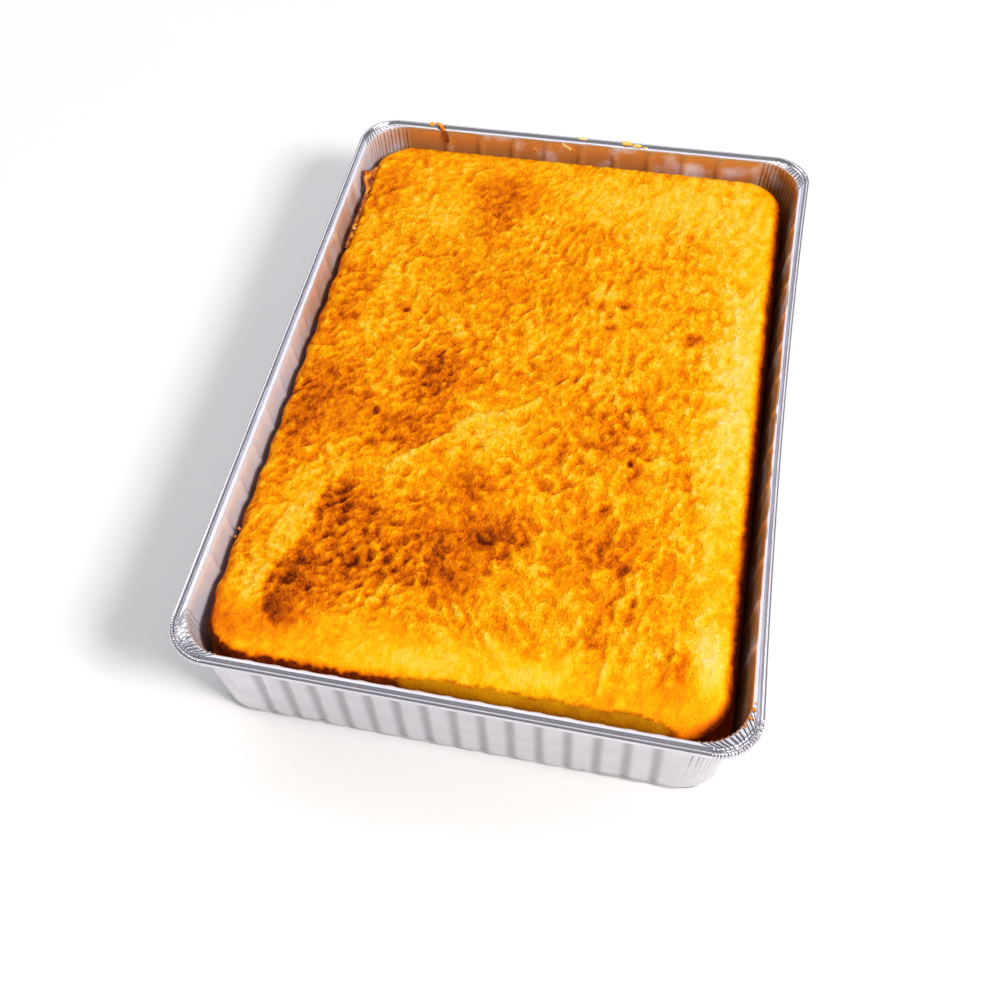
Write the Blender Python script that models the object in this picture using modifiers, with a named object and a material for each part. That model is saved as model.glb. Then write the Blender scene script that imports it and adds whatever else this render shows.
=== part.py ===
"""Cornbread baked in an oblong disposable foil pan.

+X runs across the pan, +Y along it, +Z up. The origin is the centre of the base,
where the pan rests. Sizes below are in millimetres, and MM turns them to metres.
"""

import math

import bmesh
import bpy
from mathutils import Vector, noise

MM = 0.001

# The pan: its outer rim, its height, and how far its wall stands in from the rim.
RIM_WIDTH = 240.0
RIM_LENGTH = 344.0
PAN_HEIGHT = 61.0
RIM_CORNER = 19.3
WALL_TOP_INSET = 5.4
WALL_FOOT_INSET = 10.6
WALL_TOP_CORNER = 20.0
WALL_FOOT_CORNER = 18.0
FOOT_ROUND = 5.0
FOIL = 0.4
BEAD_WIDTH = 2.4
BEAD_DROP = 3.4
GROOVE_WIDTH = 1.0
GROOVE_DEPTH = 1.6
LEDGE_DROP = 0.8
RIM_BOW = 2.5
BOW_REACH = 155.0

# The wall's ribs, which stand inwards: how many on each side and how far apart.
RIB_HEIGHT = 1.0
FRONT_RIBS, FRONT_PITCH, FRONT_RIB = 15, 11.75, 3.8
BACK_RIBS, BACK_PITCH, BACK_RIB = 9, 18.4, 3.4
SIDE_RIBS, SIDE_PITCH, SIDE_RIB = 13, 20.2, 3.4

# The corners' pleats.
PLEATS = 7
LEDGE_PLEAT = 0.35
WALL_PLEAT = 0.4
BEAD_PLEAT = 0.25

# The bread: its clearance, how far it has shrunk from each wall, and its shoulder.
GAP = 0.3
RIB_CLEARANCE = GAP + 0.1
SHRUNK_RIGHT = 4.0
SHRUNK_LEFT = 2.0
SHRUNK_FRONT = 2.9
SHRUNK_BACK = 1.5
SHRINK_FROM = 30.0
EDGE_HEIGHT = 47.5
CRUST_HEIGHT = 52.2
CROWN = 0.8
SHOULDER = 5.5
RIGHT_SHOULDER = 9.0
BREAD_CORNER = 21.0
FLOOR_ROUND = 2.0
GRID_STEP = 6.6
EDGE_STEPS = (0.0, 0.6, 1.8, 4.0, 7.5, 12.5)
RIPPLE = 0.5
RIPPLE_DEPTH = 8.0

# The crust's forms, each as x, y, half width, half length and height.
HOLLOWS = (
    (-60.0, -112.0, 27.0, 35.0, -1.3),
    (-8.0, -84.0, 42.0, 21.0, -0.9),
    (-49.0, -8.0, 22.0, 14.0, -0.6),
    (-38.0, 131.0, 26.0, 16.0, -0.6),
)
DOMES = (
    (96.0, -132.0, 22.0, 27.0, 0.9),
    (93.0, 120.0, 20.0, 35.0, 0.6),
    (52.0, 152.0, 70.0, 26.0, 1.1),
    (15.0, -142.0, 34.0, 15.0, 0.5),
    (-85.0, 30.0, 14.0, 82.0, 0.5),
)
PITS = (
    (73.0, 43.0, 4.5, 5.5, -1.6),
    (38.0, 60.0, 4.0, 4.0, -1.0),
    (33.0, 44.0, 4.0, 4.0, -1.0),
)
RIDGES = (
    ((-51.0, -56.0), (8.0, -5.0), 5.0, 0.9),
    ((58.0, -112.0), (56.0, -145.0), 5.0, 0.7),
)
WRINKLE_LENGTH = 21.0
WRINKLE_HEIGHT = 0.7

# The torn shred of crust along the left shoulder, and the batter that dried over the back rim.
SHRED_FROM, SHRED_TO = 142.0, 78.0
SHRED_STATIONS = 24
SHRED_THICK = 0.9
SHRED_X = -109.7
SHRED_WIDTH = 2.8
SHRED_JAG, SHRED_JAG_LENGTH = 1.1, 3.1
SHRED_WAVE, SHRED_WAVE_LENGTH = 0.8, 7.0
SHRED_LIFT = 0.2
FLAP_Y, FLAP_REACH = 131.0, 11.0
FLAP_WIDTH, FLAP_CLIMB = 3.0, 4.4
DRIP_X = -80.5
DRIP_SLANT = 1.4
DRIP_WIDTH = 3.0
DRIP_THICK = 0.7
DRIP_END = 2.0

FOIL_COLOUR = (0.80, 0.80, 0.82)
CRUST_COLOUR = (0.82, 0.40, 0.05)
SHRED_COLOUR = (0.62, 0.24, 0.03)
DRIP_COLOUR = (0.60, 0.28, 0.05)


def clamp(value, low, high):
    return max(low, min(high, value))


def smooth(value):
    value = clamp(value, 0.0, 1.0)
    return value * value * (3.0 - 2.0 * value)


def clear_scene():
    for thing in list(bpy.data.objects):
        bpy.data.objects.remove(thing, do_unlink=True)


def new_collection(name):
    collection = bpy.data.collections.new(name)
    bpy.context.scene.collection.children.link(collection)
    return collection


def make_material(name, colour, roughness, metallic):
    material = bpy.data.materials.new(name)
    material.use_nodes = True
    shader = material.node_tree.nodes["Principled BSDF"]
    shader.inputs["Base Color"].default_value = (*colour, 1.0)
    shader.inputs["Roughness"].default_value = roughness
    shader.inputs["Metallic"].default_value = metallic
    return material


def make_object(name, mesh_builder, material, collection):
    """The builder's vertices are in millimetres."""
    bmesh.ops.scale(mesh_builder, vec=(MM, MM, MM), verts=mesh_builder.verts)
    mesh = bpy.data.meshes.new(name)
    mesh_builder.to_mesh(mesh)
    mesh_builder.free()
    mesh.materials.append(material)
    thing = bpy.data.objects.new(name, mesh)
    collection.objects.link(thing)
    return thing


def loft(mesh_builder, loops):
    """Join closed loops of as many points each, one after another, and cap the two ends."""
    rings = [[mesh_builder.verts.new(point) for point in loop] for loop in loops]
    for lower, upper in zip(rings, rings[1:]):
        for i in range(len(lower)):
            j = (i + 1) % len(lower)
            mesh_builder.faces.new((lower[i], lower[j], upper[j], upper[i]))
    mesh_builder.faces.new(rings[0])
    mesh_builder.faces.new(rings[-1])
    bmesh.ops.recalc_face_normals(mesh_builder, faces=mesh_builder.faces)


# The wall between the foot's round and the ledge is straight: its inner face's inset at a height.
def wall_inset(z):
    top, foot = PAN_HEIGHT - LEDGE_DROP, FOOT_ROUND
    share = clamp((z - foot) / (top - foot), 0.0, 1.0)
    return WALL_FOOT_INSET + (WALL_TOP_INSET - WALL_FOOT_INSET) * share


def wall_corner(z):
    share = clamp(z / PAN_HEIGHT, 0.0, 1.0)
    return WALL_FOOT_CORNER + (WALL_TOP_CORNER - WALL_FOOT_CORNER) * share


def side_stations(count, pitch, rib_width):
    """Along one straight side: each column's place and how much of a rib it carries."""
    stations = []
    for k in range(count):
        centre = (k - (count - 1) / 2) * pitch
        stations += [(centre - rib_width / 2, 0.0), (centre, 1.0), (centre + rib_width / 2, 0.0)]
    return stations


def pan_columns():
    """Every column of the pan's loft, anticlockwise from the front wall's left end."""
    sides = (
        (-90.0, side_stations(FRONT_RIBS, FRONT_PITCH, FRONT_RIB)),
        (0.0, side_stations(SIDE_RIBS, SIDE_PITCH, SIDE_RIB)),
        (90.0, side_stations(BACK_RIBS, BACK_PITCH, BACK_RIB)),
        (180.0, side_stations(SIDE_RIBS, SIDE_PITCH, SIDE_RIB)),
    )
    columns = []
    for facing, stations in sides:
        columns.append(("end", facing, -1.0, 0.0))
        columns += [("rib", facing, place, rib) for place, rib in stations]
        columns.append(("end", facing, 1.0, 0.0))
        for k in range(2 * PLEATS + 1):
            turn = 90.0 * k / (2 * PLEATS)
            columns.append(("corner", facing, turn, 1.0 if k % 2 else -1.0))
    return columns


def rim_bow(x, y, share):
    """The right long side is pressed in at its middle."""
    if x <= 0.0:
        return 0.0
    return RIM_BOW * share * max(0.0, 1.0 - (y / BOW_REACH) ** 2) * x / (RIM_WIDTH / 2)


def pan_loop(columns, inset, z, corner, rib, pleat_out, pleat_up, bow):
    half_x, half_y = RIM_WIDTH / 2 - inset, RIM_LENGTH / 2 - inset
    loop = []
    for kind, facing, place, weight in columns:
        angle = math.radians(facing)
        out = Vector((math.cos(angle), math.sin(angle), 0.0))
        along = Vector((-out.y, out.x, 0.0))
        reach, half = (half_y, half_x) if facing in (-90.0, 90.0) else (half_x, half_y)
        straight = half - corner
        lift = 0.0
        if kind == "rib":
            point = out * (reach - rib * RIB_HEIGHT * weight) + along * place
        elif kind == "end":
            point = out * reach + along * (place * (straight + last_rib(facing)) / 2)
        else:
            turn = angle + math.radians(place)
            ray = Vector((math.cos(turn), math.sin(turn), 0.0))
            point = out * (reach - corner) + along * straight + ray * (corner + pleat_out * weight)
            lift = pleat_up * weight
        point.x -= rim_bow(point.x, point.y, bow)
        loop.append((point.x, point.y, z + lift))
    return loop


def last_rib(facing):
    count, pitch, width = {
        -90.0: (FRONT_RIBS, FRONT_PITCH, FRONT_RIB),
        90.0: (BACK_RIBS, BACK_PITCH, BACK_RIB),
    }.get(facing, (SIDE_RIBS, SIDE_PITCH, SIDE_RIB))
    return (count - 1) / 2 * pitch + width / 2


def pan_profile():
    """The foil's closed section, from the floor's top face over the rim to its underside.

    Each row is an inset from the rim, a height, a corner radius, a rib's share, the
    pleats' reach outwards and upwards, and the share of the bow.
    """
    top = PAN_HEIGHT
    ledge = top - LEDGE_DROP
    groove = BEAD_WIDTH + GROOVE_WIDTH / 2
    foot = FOOT_ROUND
    low = foot * (1.0 - math.cos(math.radians(45)))
    rows = [
        (WALL_FOOT_INSET + foot, FOIL, 0.0, 0.0, 0.0, 0.0),
        (WALL_FOOT_INSET + low, FOIL + low, 0.4, 0.0, 0.0, 0.0),
        (WALL_FOOT_INSET, foot, 1.0, 0.0, 0.0, 0.05),
        (WALL_TOP_INSET, ledge - 0.6, 1.0, WALL_PLEAT, 0.0, 0.5),
        (WALL_TOP_INSET - 0.6, ledge, 0.5, WALL_PLEAT, LEDGE_PLEAT, 0.55),
        (BEAD_WIDTH + GROOVE_WIDTH, ledge, 0.0, 0.0, LEDGE_PLEAT, 0.8),
        (groove, top - GROOVE_DEPTH, 0.0, 0.0, 0.0, 0.9),
        (BEAD_WIDTH, top - 0.7, 0.0, 0.0, BEAD_PLEAT, 1.0),
        (BEAD_WIDTH * 0.62, top, 0.0, 0.0, 0.0, 1.0),
        (BEAD_WIDTH * 0.2, top - 0.6, 0.0, BEAD_PLEAT, 0.0, 1.0),
        (0.0, top - BEAD_DROP * 0.55, 0.0, -BEAD_PLEAT, 0.0, 1.0),
        (BEAD_WIDTH * 0.25, top - BEAD_DROP, 0.0, 0.0, 0.0, 1.0),
        (BEAD_WIDTH * 0.9, top - BEAD_DROP * 0.9, 0.0, 0.0, 0.0, 1.0),
        (groove, top - GROOVE_DEPTH - FOIL * 1.5, 0.0, 0.0, 0.0, 0.9),
        (WALL_TOP_INSET - FOIL, ledge - 1.2, 1.0, WALL_PLEAT, 0.0, 0.5),
        (WALL_FOOT_INSET - FOIL, foot, 1.0, 0.0, 0.0, 0.05),
        (WALL_FOOT_INSET - FOIL + low, low, 0.4, 0.0, 0.0, 0.0),
        (WALL_FOOT_INSET + foot, 0.0, 0.0, 0.0, 0.0, 0.0),
    ]
    return [(inset, z, row_corner(inset, z), *rest) for inset, z, *rest in rows]


def row_corner(inset, z):
    """The bead's corners share one centre, and across the ledge they open out to the wall's radius."""
    ledge_from, ledge_to = BEAD_WIDTH + GROOVE_WIDTH, WALL_TOP_INSET - FOIL
    if inset < ledge_to:
        share = max(0.0, (inset - ledge_from) / (ledge_to - ledge_from))
        return RIM_CORNER - inset + (WALL_TOP_CORNER + WALL_TOP_INSET - RIM_CORNER) * share
    if z >= FOOT_ROUND:
        return wall_corner(z) + wall_inset(z) - inset
    return WALL_FOOT_CORNER + WALL_FOOT_INSET - inset


def make_foil_pan(material, collection):
    columns = pan_columns()
    mesh_builder = bmesh.new()
    loops = []
    for inset, z, corner, rib, pleat_out, pleat_up, bow in pan_profile():
        loops.append(pan_loop(columns, inset, z, corner, rib, pleat_out, pleat_up, bow))
    loft(mesh_builder, loops)
    return make_object("foil_pan", mesh_builder, material, collection)


def bread_sides(z):
    """The bread's left, right, front and back at a height, clear of the foil's ribs."""
    if z < FOOT_ROUND:
        share = math.acos(clamp(1.0 - (z - FOIL - GAP) / FOOT_ROUND, 0.0, 1.0))
        inset = WALL_FOOT_INSET + FOOT_ROUND * (1.0 - math.sin(share))
    else:
        inset = wall_inset(z)
    inset += RIB_HEIGHT + RIB_CLEARANCE
    pulled = smooth((z - SHRINK_FROM) / (EDGE_HEIGHT - SHRINK_FROM))
    half_x, half_y = RIM_WIDTH / 2 - inset, RIM_LENGTH / 2 - inset
    return (
        -half_x + SHRUNK_LEFT * pulled,
        half_x - SHRUNK_RIGHT * pulled,
        -half_y + SHRUNK_FRONT * pulled,
        half_y - SHRUNK_BACK * pulled,
    )


def bread_point(u, v, z):
    """A place in the bread's rounded plan at a height, for u and v in millimetres of the top's plan."""
    left, right, front, back = bread_sides(z)
    top_left, top_right, top_front, top_back = bread_sides(EDGE_HEIGHT)
    x = left + (right - left) * (u - top_left) / (top_right - top_left)
    y = front + (back - front) * (v - top_front) / (top_back - top_front)
    centre_x = clamp(x, left + BREAD_CORNER, right - BREAD_CORNER)
    centre_y = clamp(y, front + BREAD_CORNER, back - BREAD_CORNER)
    s, t = (x - centre_x) / BREAD_CORNER, (y - centre_y) / BREAD_CORNER
    x = centre_x + BREAD_CORNER * s * math.sqrt(1.0 - t * t / 2)
    y = centre_y + BREAD_CORNER * t * math.sqrt(1.0 - s * s / 2)
    x -= rim_bow(x, y, 0.5 * z / PAN_HEIGHT)
    return x, y


def edge_distance(x, y):
    """How far inside the bread's outline at its edge a place lies."""
    left, right, front, back = bread_sides(EDGE_HEIGHT)
    right -= rim_bow(right, y, 0.5 * EDGE_HEIGHT / PAN_HEIGHT)
    across = max(left + BREAD_CORNER - x, x - right + BREAD_CORNER)
    along = max(front + BREAD_CORNER - y, y - back + BREAD_CORNER)
    outside = math.hypot(max(across, 0.0), max(along, 0.0))
    return BREAD_CORNER - outside - min(max(across, along), 0.0)


def mound(x, y, form):
    centre_x, centre_y, half_width, half_length, height = form
    away = math.hypot((x - centre_x) / half_width, (y - centre_y) / half_length)
    return height * smooth(1.0 - away) if away < 1.0 else 0.0


def ridge(x, y, form):
    (start_x, start_y), (end_x, end_y), half_width, height = form
    run_x, run_y = end_x - start_x, end_y - start_y
    share = clamp(((x - start_x) * run_x + (y - start_y) * run_y) / (run_x**2 + run_y**2), 0.0, 1.0)
    away = math.hypot(x - start_x - run_x * share, y - start_y - run_y * share)
    return height * smooth(1.0 - away / half_width)


def shoulder_width(x):
    """The shoulder is broader along the right side."""
    return SHOULDER + (RIGHT_SHOULDER - SHOULDER) * smooth(2.0 * x / RIM_WIDTH)


def crust_height(x, y):
    """The crust's height at a place: a low crown, a rounded shoulder, and its relief."""
    inside = max(edge_distance(x, y), 0.0)
    shoulder = shoulder_width(x)
    crown = CROWN * (1.0 - (2 * x / RIM_WIDTH) ** 2) * (1.0 - (2 * y / RIM_LENGTH) ** 2)
    level = CRUST_HEIGHT - EDGE_HEIGHT
    if inside < shoulder:
        level *= math.sqrt(1.0 - (1.0 - inside / shoulder) ** 2)
    relief = sum(mound(x, y, form) for form in HOLLOWS + DOMES + PITS)
    relief += sum(ridge(x, y, form) for form in RIDGES)
    place = Vector((x / WRINKLE_LENGTH, y / WRINKLE_LENGTH, 0.0))
    relief += WRINKLE_HEIGHT * noise.fractal(place, 1.0, 2.0, 2)
    return EDGE_HEIGHT + level + crown + relief * smooth(inside / shoulder)


def grid_places(low, high):
    """Places across the top: close together at both edges, and even between."""
    start, end = low + EDGE_STEPS[-1], high - EDGE_STEPS[-1]
    steps = round((end - start) / GRID_STEP)
    middle = [start + (end - start) * k / steps for k in range(1, steps)]
    return [low + d for d in EDGE_STEPS] + middle + [high - d for d in reversed(EDGE_STEPS)]


def ripple(x, y, z):
    """The left wall's ribs have left their print along the bread's upper edge."""
    near = smooth(1.0 - (x - bread_sides(z)[0]) / RIPPLE_DEPTH)
    return RIPPLE * near * math.cos(2 * math.pi * y / SIDE_PITCH)


def make_cornbread(material, collection):
    left, right, front, back = bread_sides(EDGE_HEIGHT)
    across, along = grid_places(left, right), grid_places(front, back)
    mesh_builder = bmesh.new()
    top = {}
    for i, u in enumerate(across):
        for j, v in enumerate(along):
            x, y = bread_point(u, v, EDGE_HEIGHT)
            z = crust_height(x, y)
            top[i, j] = mesh_builder.verts.new((x + ripple(x, y, z) + RIPPLE * 0.5, y, z))
    for i in range(len(across) - 1):
        for j in range(len(along) - 1):
            corners = (top[i, j], top[i + 1, j], top[i + 1, j + 1], top[i, j + 1])
            mesh_builder.faces.new(corners)
    last_i, last_j = len(across) - 1, len(along) - 1
    border = [(i, 0) for i in range(last_i)] + [(last_i, j) for j in range(last_j)]
    border += [(i, last_j) for i in range(last_i, 0, -1)] + [(0, j) for j in range(last_j, 0, -1)]
    above = [top[key] for key in border]
    floor = FOIL + GAP
    for z in (SHRINK_FROM, FOOT_ROUND + FLOOR_ROUND, floor + FLOOR_ROUND, floor):
        below = []
        for i, j in border:
            x, y = bread_point(across[i], along[j], z)
            below.append(mesh_builder.verts.new((x, y, z)))
        for k in range(len(border)):
            n = (k + 1) % len(border)
            mesh_builder.faces.new((above[k], below[k], below[n], above[n]))
        above = below
    mesh_builder.faces.new(above)
    bmesh.ops.recalc_face_normals(mesh_builder, faces=mesh_builder.faces)
    return make_object("cornbread", mesh_builder, material, collection)


def thin_strip(name, edges, thickness, material, collection):
    """A torn or dried strip: points across it, row after row, thickened on its upper side."""
    mesh_builder = bmesh.new()
    rows = [[mesh_builder.verts.new(point) for point in pair] for pair in edges]
    for lower, upper in zip(rows, rows[1:]):
        for k in range(len(lower) - 1):
            mesh_builder.faces.new((lower[k], lower[k + 1], upper[k + 1], upper[k]))
    thing = make_object(name, mesh_builder, material, collection)
    solidify = thing.modifiers.new("Thickness", "SOLIDIFY")
    solidify.thickness = thickness * MM
    solidify.offset = 1.0
    return thing


def shred_rest(x, y):
    """How low the shred's underside may lie at a place."""
    return crust_height(x, y) + GAP + 2 * SHRED_LIFT


def make_crust_shred(material, collection):
    """The shred lies on the bread's shoulder, and its flap leans on the left wall."""
    edges = []
    for k in range(SHRED_STATIONS + 1):
        share = k / SHRED_STATIONS
        y = SHRED_FROM + (SHRED_TO - SHRED_FROM) * share
        flap = smooth(1.0 - abs(y - FLAP_Y) / FLAP_REACH)
        jag = noise.noise(Vector((y / SHRED_JAG_LENGTH, 5.0, 0.0)))
        wave = noise.noise(Vector((y / SHRED_WAVE_LENGTH, 9.0, 0.0)))
        width = SHRED_WIDTH + FLAP_WIDTH * flap + SHRED_JAG * jag
        flap_z = CRUST_HEIGHT + FLAP_CLIMB + SHRED_WAVE * wave
        flap_x = -RIM_WIDTH / 2 + wall_inset(flap_z) + RIB_HEIGHT + GAP
        outer_x = SHRED_X + (flap_x - SHRED_X) * flap
        inner_x = outer_x + width
        middle_x = outer_x + width / 2
        outer_rest = shred_rest(outer_x + width / 4, y)
        outer_z = outer_rest + (flap_z - outer_rest) * flap
        inner_z = max(shred_rest(inner_x, y), shred_rest(inner_x + width / 4, y))
        middle_z = max((outer_z + inner_z) / 2, shred_rest(middle_x, y))
        edges.append(((inner_x, y, inner_z), (middle_x, y, middle_z), (outer_x, y, outer_z)))
    return thin_strip("crust_shred", edges, SHRED_THICK, material, collection)


def make_batter_drip(material, collection):
    """The drip runs down over the back rim's bead and ledge to the crust."""
    top = PAN_HEIGHT
    ledge = top - LEDGE_DROP
    foot = CRUST_HEIGHT + DRIP_END
    # Each point of its way is an inset from the rim, a height and a share of its width.
    path = (
        (BEAD_WIDTH * 0.2, top - 0.1, 0.7),
        (BEAD_WIDTH * 0.62, top + GAP, 1.2),
        (BEAD_WIDTH + GROOVE_WIDTH, ledge + GAP * 2, 1.3),
        (WALL_TOP_INSET - 0.3, ledge + GAP, 1.0),
        (WALL_TOP_INSET + RIB_HEIGHT + GAP, ledge - 0.6, 0.8),
        (wall_inset(foot) + RIB_HEIGHT + GAP, foot, 1.0),
    )
    edges = []
    for k, (inset, z, spread) in enumerate(path):
        y = RIM_LENGTH / 2 - inset
        middle = DRIP_X + DRIP_SLANT * k
        half = DRIP_WIDTH / 2 * spread
        edges.append(((middle + half, y, z), (middle, y, z), (middle - half, y, z)))
    return thin_strip("batter_drip", edges, DRIP_THICK, material, collection)


def main():
    clear_scene()
    collection = new_collection("cornbread_in_foil_pan")
    foil = make_material("pressed aluminium foil", FOIL_COLOUR, 0.3, 1.0)
    crust = make_material("baked cornbread crust", CRUST_COLOUR, 0.55, 0.0)
    torn = make_material("torn browned crust", SHRED_COLOUR, 0.6, 0.0)
    dried = make_material("dried batter", DRIP_COLOUR, 0.5, 0.0)
    make_foil_pan(foil, collection)
    make_cornbread(crust, collection)
    make_crust_shred(torn, collection)
    make_batter_drip(dried, collection)


main()
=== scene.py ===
"""A slab of cornbread in the oblong foil pan that it was baked in: surfaces, light and camera.

Laid out as a Blender add-on and run as a script. Sizes are in millimetres unless a name
or a property says otherwise, and MM turns them to metres.
"""

import math

import bmesh
import bpy
import numpy as np
from bpy.props import FloatProperty, FloatVectorProperty, PointerProperty
from mathutils import Matrix, Vector, noise


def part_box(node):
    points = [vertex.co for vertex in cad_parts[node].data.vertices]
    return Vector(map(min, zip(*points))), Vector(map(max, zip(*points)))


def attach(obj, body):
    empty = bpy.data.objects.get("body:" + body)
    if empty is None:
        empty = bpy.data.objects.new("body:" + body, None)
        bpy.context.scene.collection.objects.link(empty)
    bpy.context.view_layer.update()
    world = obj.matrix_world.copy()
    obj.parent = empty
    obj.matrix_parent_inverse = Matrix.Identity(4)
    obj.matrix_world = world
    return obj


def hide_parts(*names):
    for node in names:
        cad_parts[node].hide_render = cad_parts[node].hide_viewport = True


bl_info = {
    "name": "Cornbread in a Foil Pan",
    "version": (1, 0, 0),
    "blender": (4, 5, 0),
    "location": "View3D > Sidebar > Cornbread",
    "description": "Builds a baked cornbread slab in a ribbed foil pan, with its crust and crumbs",
    "category": "Add Mesh",
}

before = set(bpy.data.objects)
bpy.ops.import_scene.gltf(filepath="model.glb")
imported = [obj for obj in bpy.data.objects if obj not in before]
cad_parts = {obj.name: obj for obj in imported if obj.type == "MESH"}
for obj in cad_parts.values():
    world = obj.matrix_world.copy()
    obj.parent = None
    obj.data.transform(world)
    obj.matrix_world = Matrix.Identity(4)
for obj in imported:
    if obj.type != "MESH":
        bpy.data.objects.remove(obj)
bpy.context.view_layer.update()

MM = 0.001
BODY = "root"
# The seed of the noise that bends the crust's flakes.
NOISE_SEED = 7
PAN_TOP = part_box("foil_pan")[1].z / MM

# The pan's plan and its section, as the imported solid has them.
RIM_WIDTH, RIM_LENGTH = 240.0, 344.0
RIM_CORNER = 19.3
WALL_TOP_INSET, WALL_FOOT_INSET = 5.4, 10.6
WALL_TOP_CORNER, WALL_FOOT_CORNER = 20.0, 18.0
FOOT_ROUND = 5.0
FOIL = 0.4
BEAD_WIDTH, BEAD_DROP = 2.4, 3.4
GROOVE_WIDTH, GROOVE_DEPTH = 1.0, 1.6
LEDGE_DROP = 0.8
LEDGE_Z = PAN_TOP - LEDGE_DROP
RIM_BOW, BOW_REACH = 2.5, 155.0
WALL_BOW_SHARE = 0.5

# The ribs: facing angle of each side in degrees, then count, pitch and width.
SIDES = (
    (-90.0, 15, 11.75, 3.8),
    (0.0, 13, 20.2, 3.4),
    (90.0, 9, 18.4, 3.4),
    (180.0, 13, 20.2, 3.4),
)
RIB_HEIGHT = 1.0
RIB_EDGE = 1.4
PANEL_STEP = 2.2
RIB_FADE = 3.0
# The mesh's columns past a side's last rib and round a corner, and the corner's folds.
SIDE_ENDS, CORNER_COLUMNS = 7, 112
CORNER_PLEATS, CORNER_CRIMPS, CRIMP_RISE = 14, 22, 0.8
DENT_LENGTH, DENT_SEED = 26.0, 3.0
# What a row of the section says: its place, its share of the ribs, how far pleats reach outwards
# and upwards and crimps reach, its share of the bow and the dents, how dulled by baking it is,
# how much painted shade goes into its pleats, crimps and ribs, and how much painted shade all of it gets.
ROW_LABELS = ("inset", "height", "rib_share", "pleat_out", "pleat_up", "crimp_out", "bow_share", "dent_share",
              "dulled", "pleat_dark", "crimp_dark", "rib_dark", "all_dark")
ROW_LENGTHS = ("inset", "height", "pleat_out", "pleat_up", "crimp_out")
# What a column round the rim says: the part of its place that is fixed, the part that goes with
# the corner's centre, the way it faces, how tan its wall is (partly a painted reflection of the
# bread), its share of a rib, a pleat and a crimp, and how far it is a pleat's and a crimp's fold,
# which gets painted shade.
COLUMN_LABELS = ("fixed", "share", "out", "tanned", "rib", "pleat", "crimp", "pleat_fold", "crimp_fold")
# The sizes that the pan's geometry nodes take.
PAN_SIZES = ("Half Width", "Half Length", "Rib Height", "Bow", "Bow Reach", "Dent Depth", "Dent Length",
             "Seed")
# How far the inside of the front, right, back and left walls is tan: partly a film that baking left,
# partly a painted reflection of the bread.
TAN_AND_BREAD_REFLECTION = (0.7, 0.95, 0.97, 0.03)
# The left wall's back half is tan too, partly as a painted reflection of the bread: how much, the
# length that it starts over just past the corner, where it ends, and the length that it fades over.
LEFT_TAN_AND_REFLECTION, LEFT_TAN_START, LEFT_TAN_END, LEFT_TAN_FADE = 0.62, 14.0, 20.0, 60.0

# The bread's plan and heights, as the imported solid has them.
GAP = 0.3
RIB_CLEARANCE = GAP + 0.1
SHRUNK_RIGHT, SHRUNK_LEFT, SHRUNK_FRONT, SHRUNK_BACK = 4.0, 2.0, 2.9, 1.5
SHRINK_FROM = 30.0
EDGE_HEIGHT, CRUST_HEIGHT, CROWN = 47.5, 52.2, 0.8
SHOULDER, RIGHT_SHOULDER = 5.5, 9.0
BREAD_CORNER = 21.0
RIPPLE, RIPPLE_DEPTH, RIPPLE_PITCH = 0.5, 8.0, 20.2
CRUST_STEP = 0.95
EDGE_STEPS = (0.0, 0.25, 0.6, 1.1, 1.7, 2.4, 3.2, 4.1)
SIDE_ROWS = (46.5, 45.0, 42.5, 39.0, 34.0, 30.0, 20.0, 7.0, 2.7, 0.7)

# Large forms of the crust: x, y, half width, half length, height.
FORMS = (
    (-60, -112, 27, 35, -1.3), (-8, -84, 42, 21, -0.9), (-49, -8, 22, 14, -0.6), (-38, 131, 26, 16, -0.6),
    (96, -132, 22, 27, 0.9), (93, 120, 20, 35, 0.6), (52, 152, 70, 26, 1.1), (15, -142, 34, 15, 0.5),
    (-85, 30, 14, 82, 0.5),
)
PITS = ((73, 43, 4.5, 5.5, -1.6), (38, 60, 4, 4, -1), (33, 44, 4, 4, -1))
SMALL_PITS = (
    (-67, 39, 2.6, 3, -0.8), (24, 27, 3, 2, -0.5), (-66, -27, 2.2, 3.4, -0.9), (-10, -99, 4, 1.4, -0.9),
    (53, -37, 2.2, 3.2, -0.8), (62, 57, 2.4, 2.4, -0.5),
)
RIDGES = (
    ((-51, -56), (-30, -36), 3.2, 1.7), ((-30, -36), (-20, -22), 2.8, 1.2),
    ((-20, -22), (-5, -18), 2.8, 1.3), ((-5, -18), (8, -8), 3.2, 1.7), ((58, -112), (56, -150), 2.2, 1.3),
    ((22, -74), (21, -100), 2.4, 0.9), ((70, -46), (68, -60), 2.2, 0.9), ((61, 46), (68, 36), 2.4, 0.9),
    ((84, -118), (82, -142), 2.6, 1.1), ((28, -64), (31, -76), 2.4, 0.7),
    ((-78, 142), (-77, 128), 2.2, 0.9), ((36, -82), (38, -108), 2, 0.8), ((64, -92), (66, -108), 2, 0.9),
    ((46, -52), (52, -66), 2, 0.7),
)
# The rim of the sunken patch, walked with the patch on the left-hand side.
SUNKEN_RIM = ((-70, -62), (-78, -78), (-79, -95), (-86, -112), (-90, -126), (-87, -139), (-78, -147))
SUNKEN_STEP, SUNKEN_REACH, SUNKEN_EDGE = 0.9, 20.0, 1.6

WRINKLE_LENGTH, WRINKLE_HEIGHT = 21.0, 0.7
FLAKE_SPACING, FLAKE_HEIGHT, FLAKE_SHARPNESS = 0.27, 0.44, 0.30
# Base tone, the painted highlight on flake crests, the painted light of the marks, and the sunken rim's
# browning.
BASE_TONE, CREST_PAINTED_HIGHLIGHT, MARK_PAINTED_LIGHT, RIM_DARKER = 0.43, 0.22, 0.18, 0.12
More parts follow.
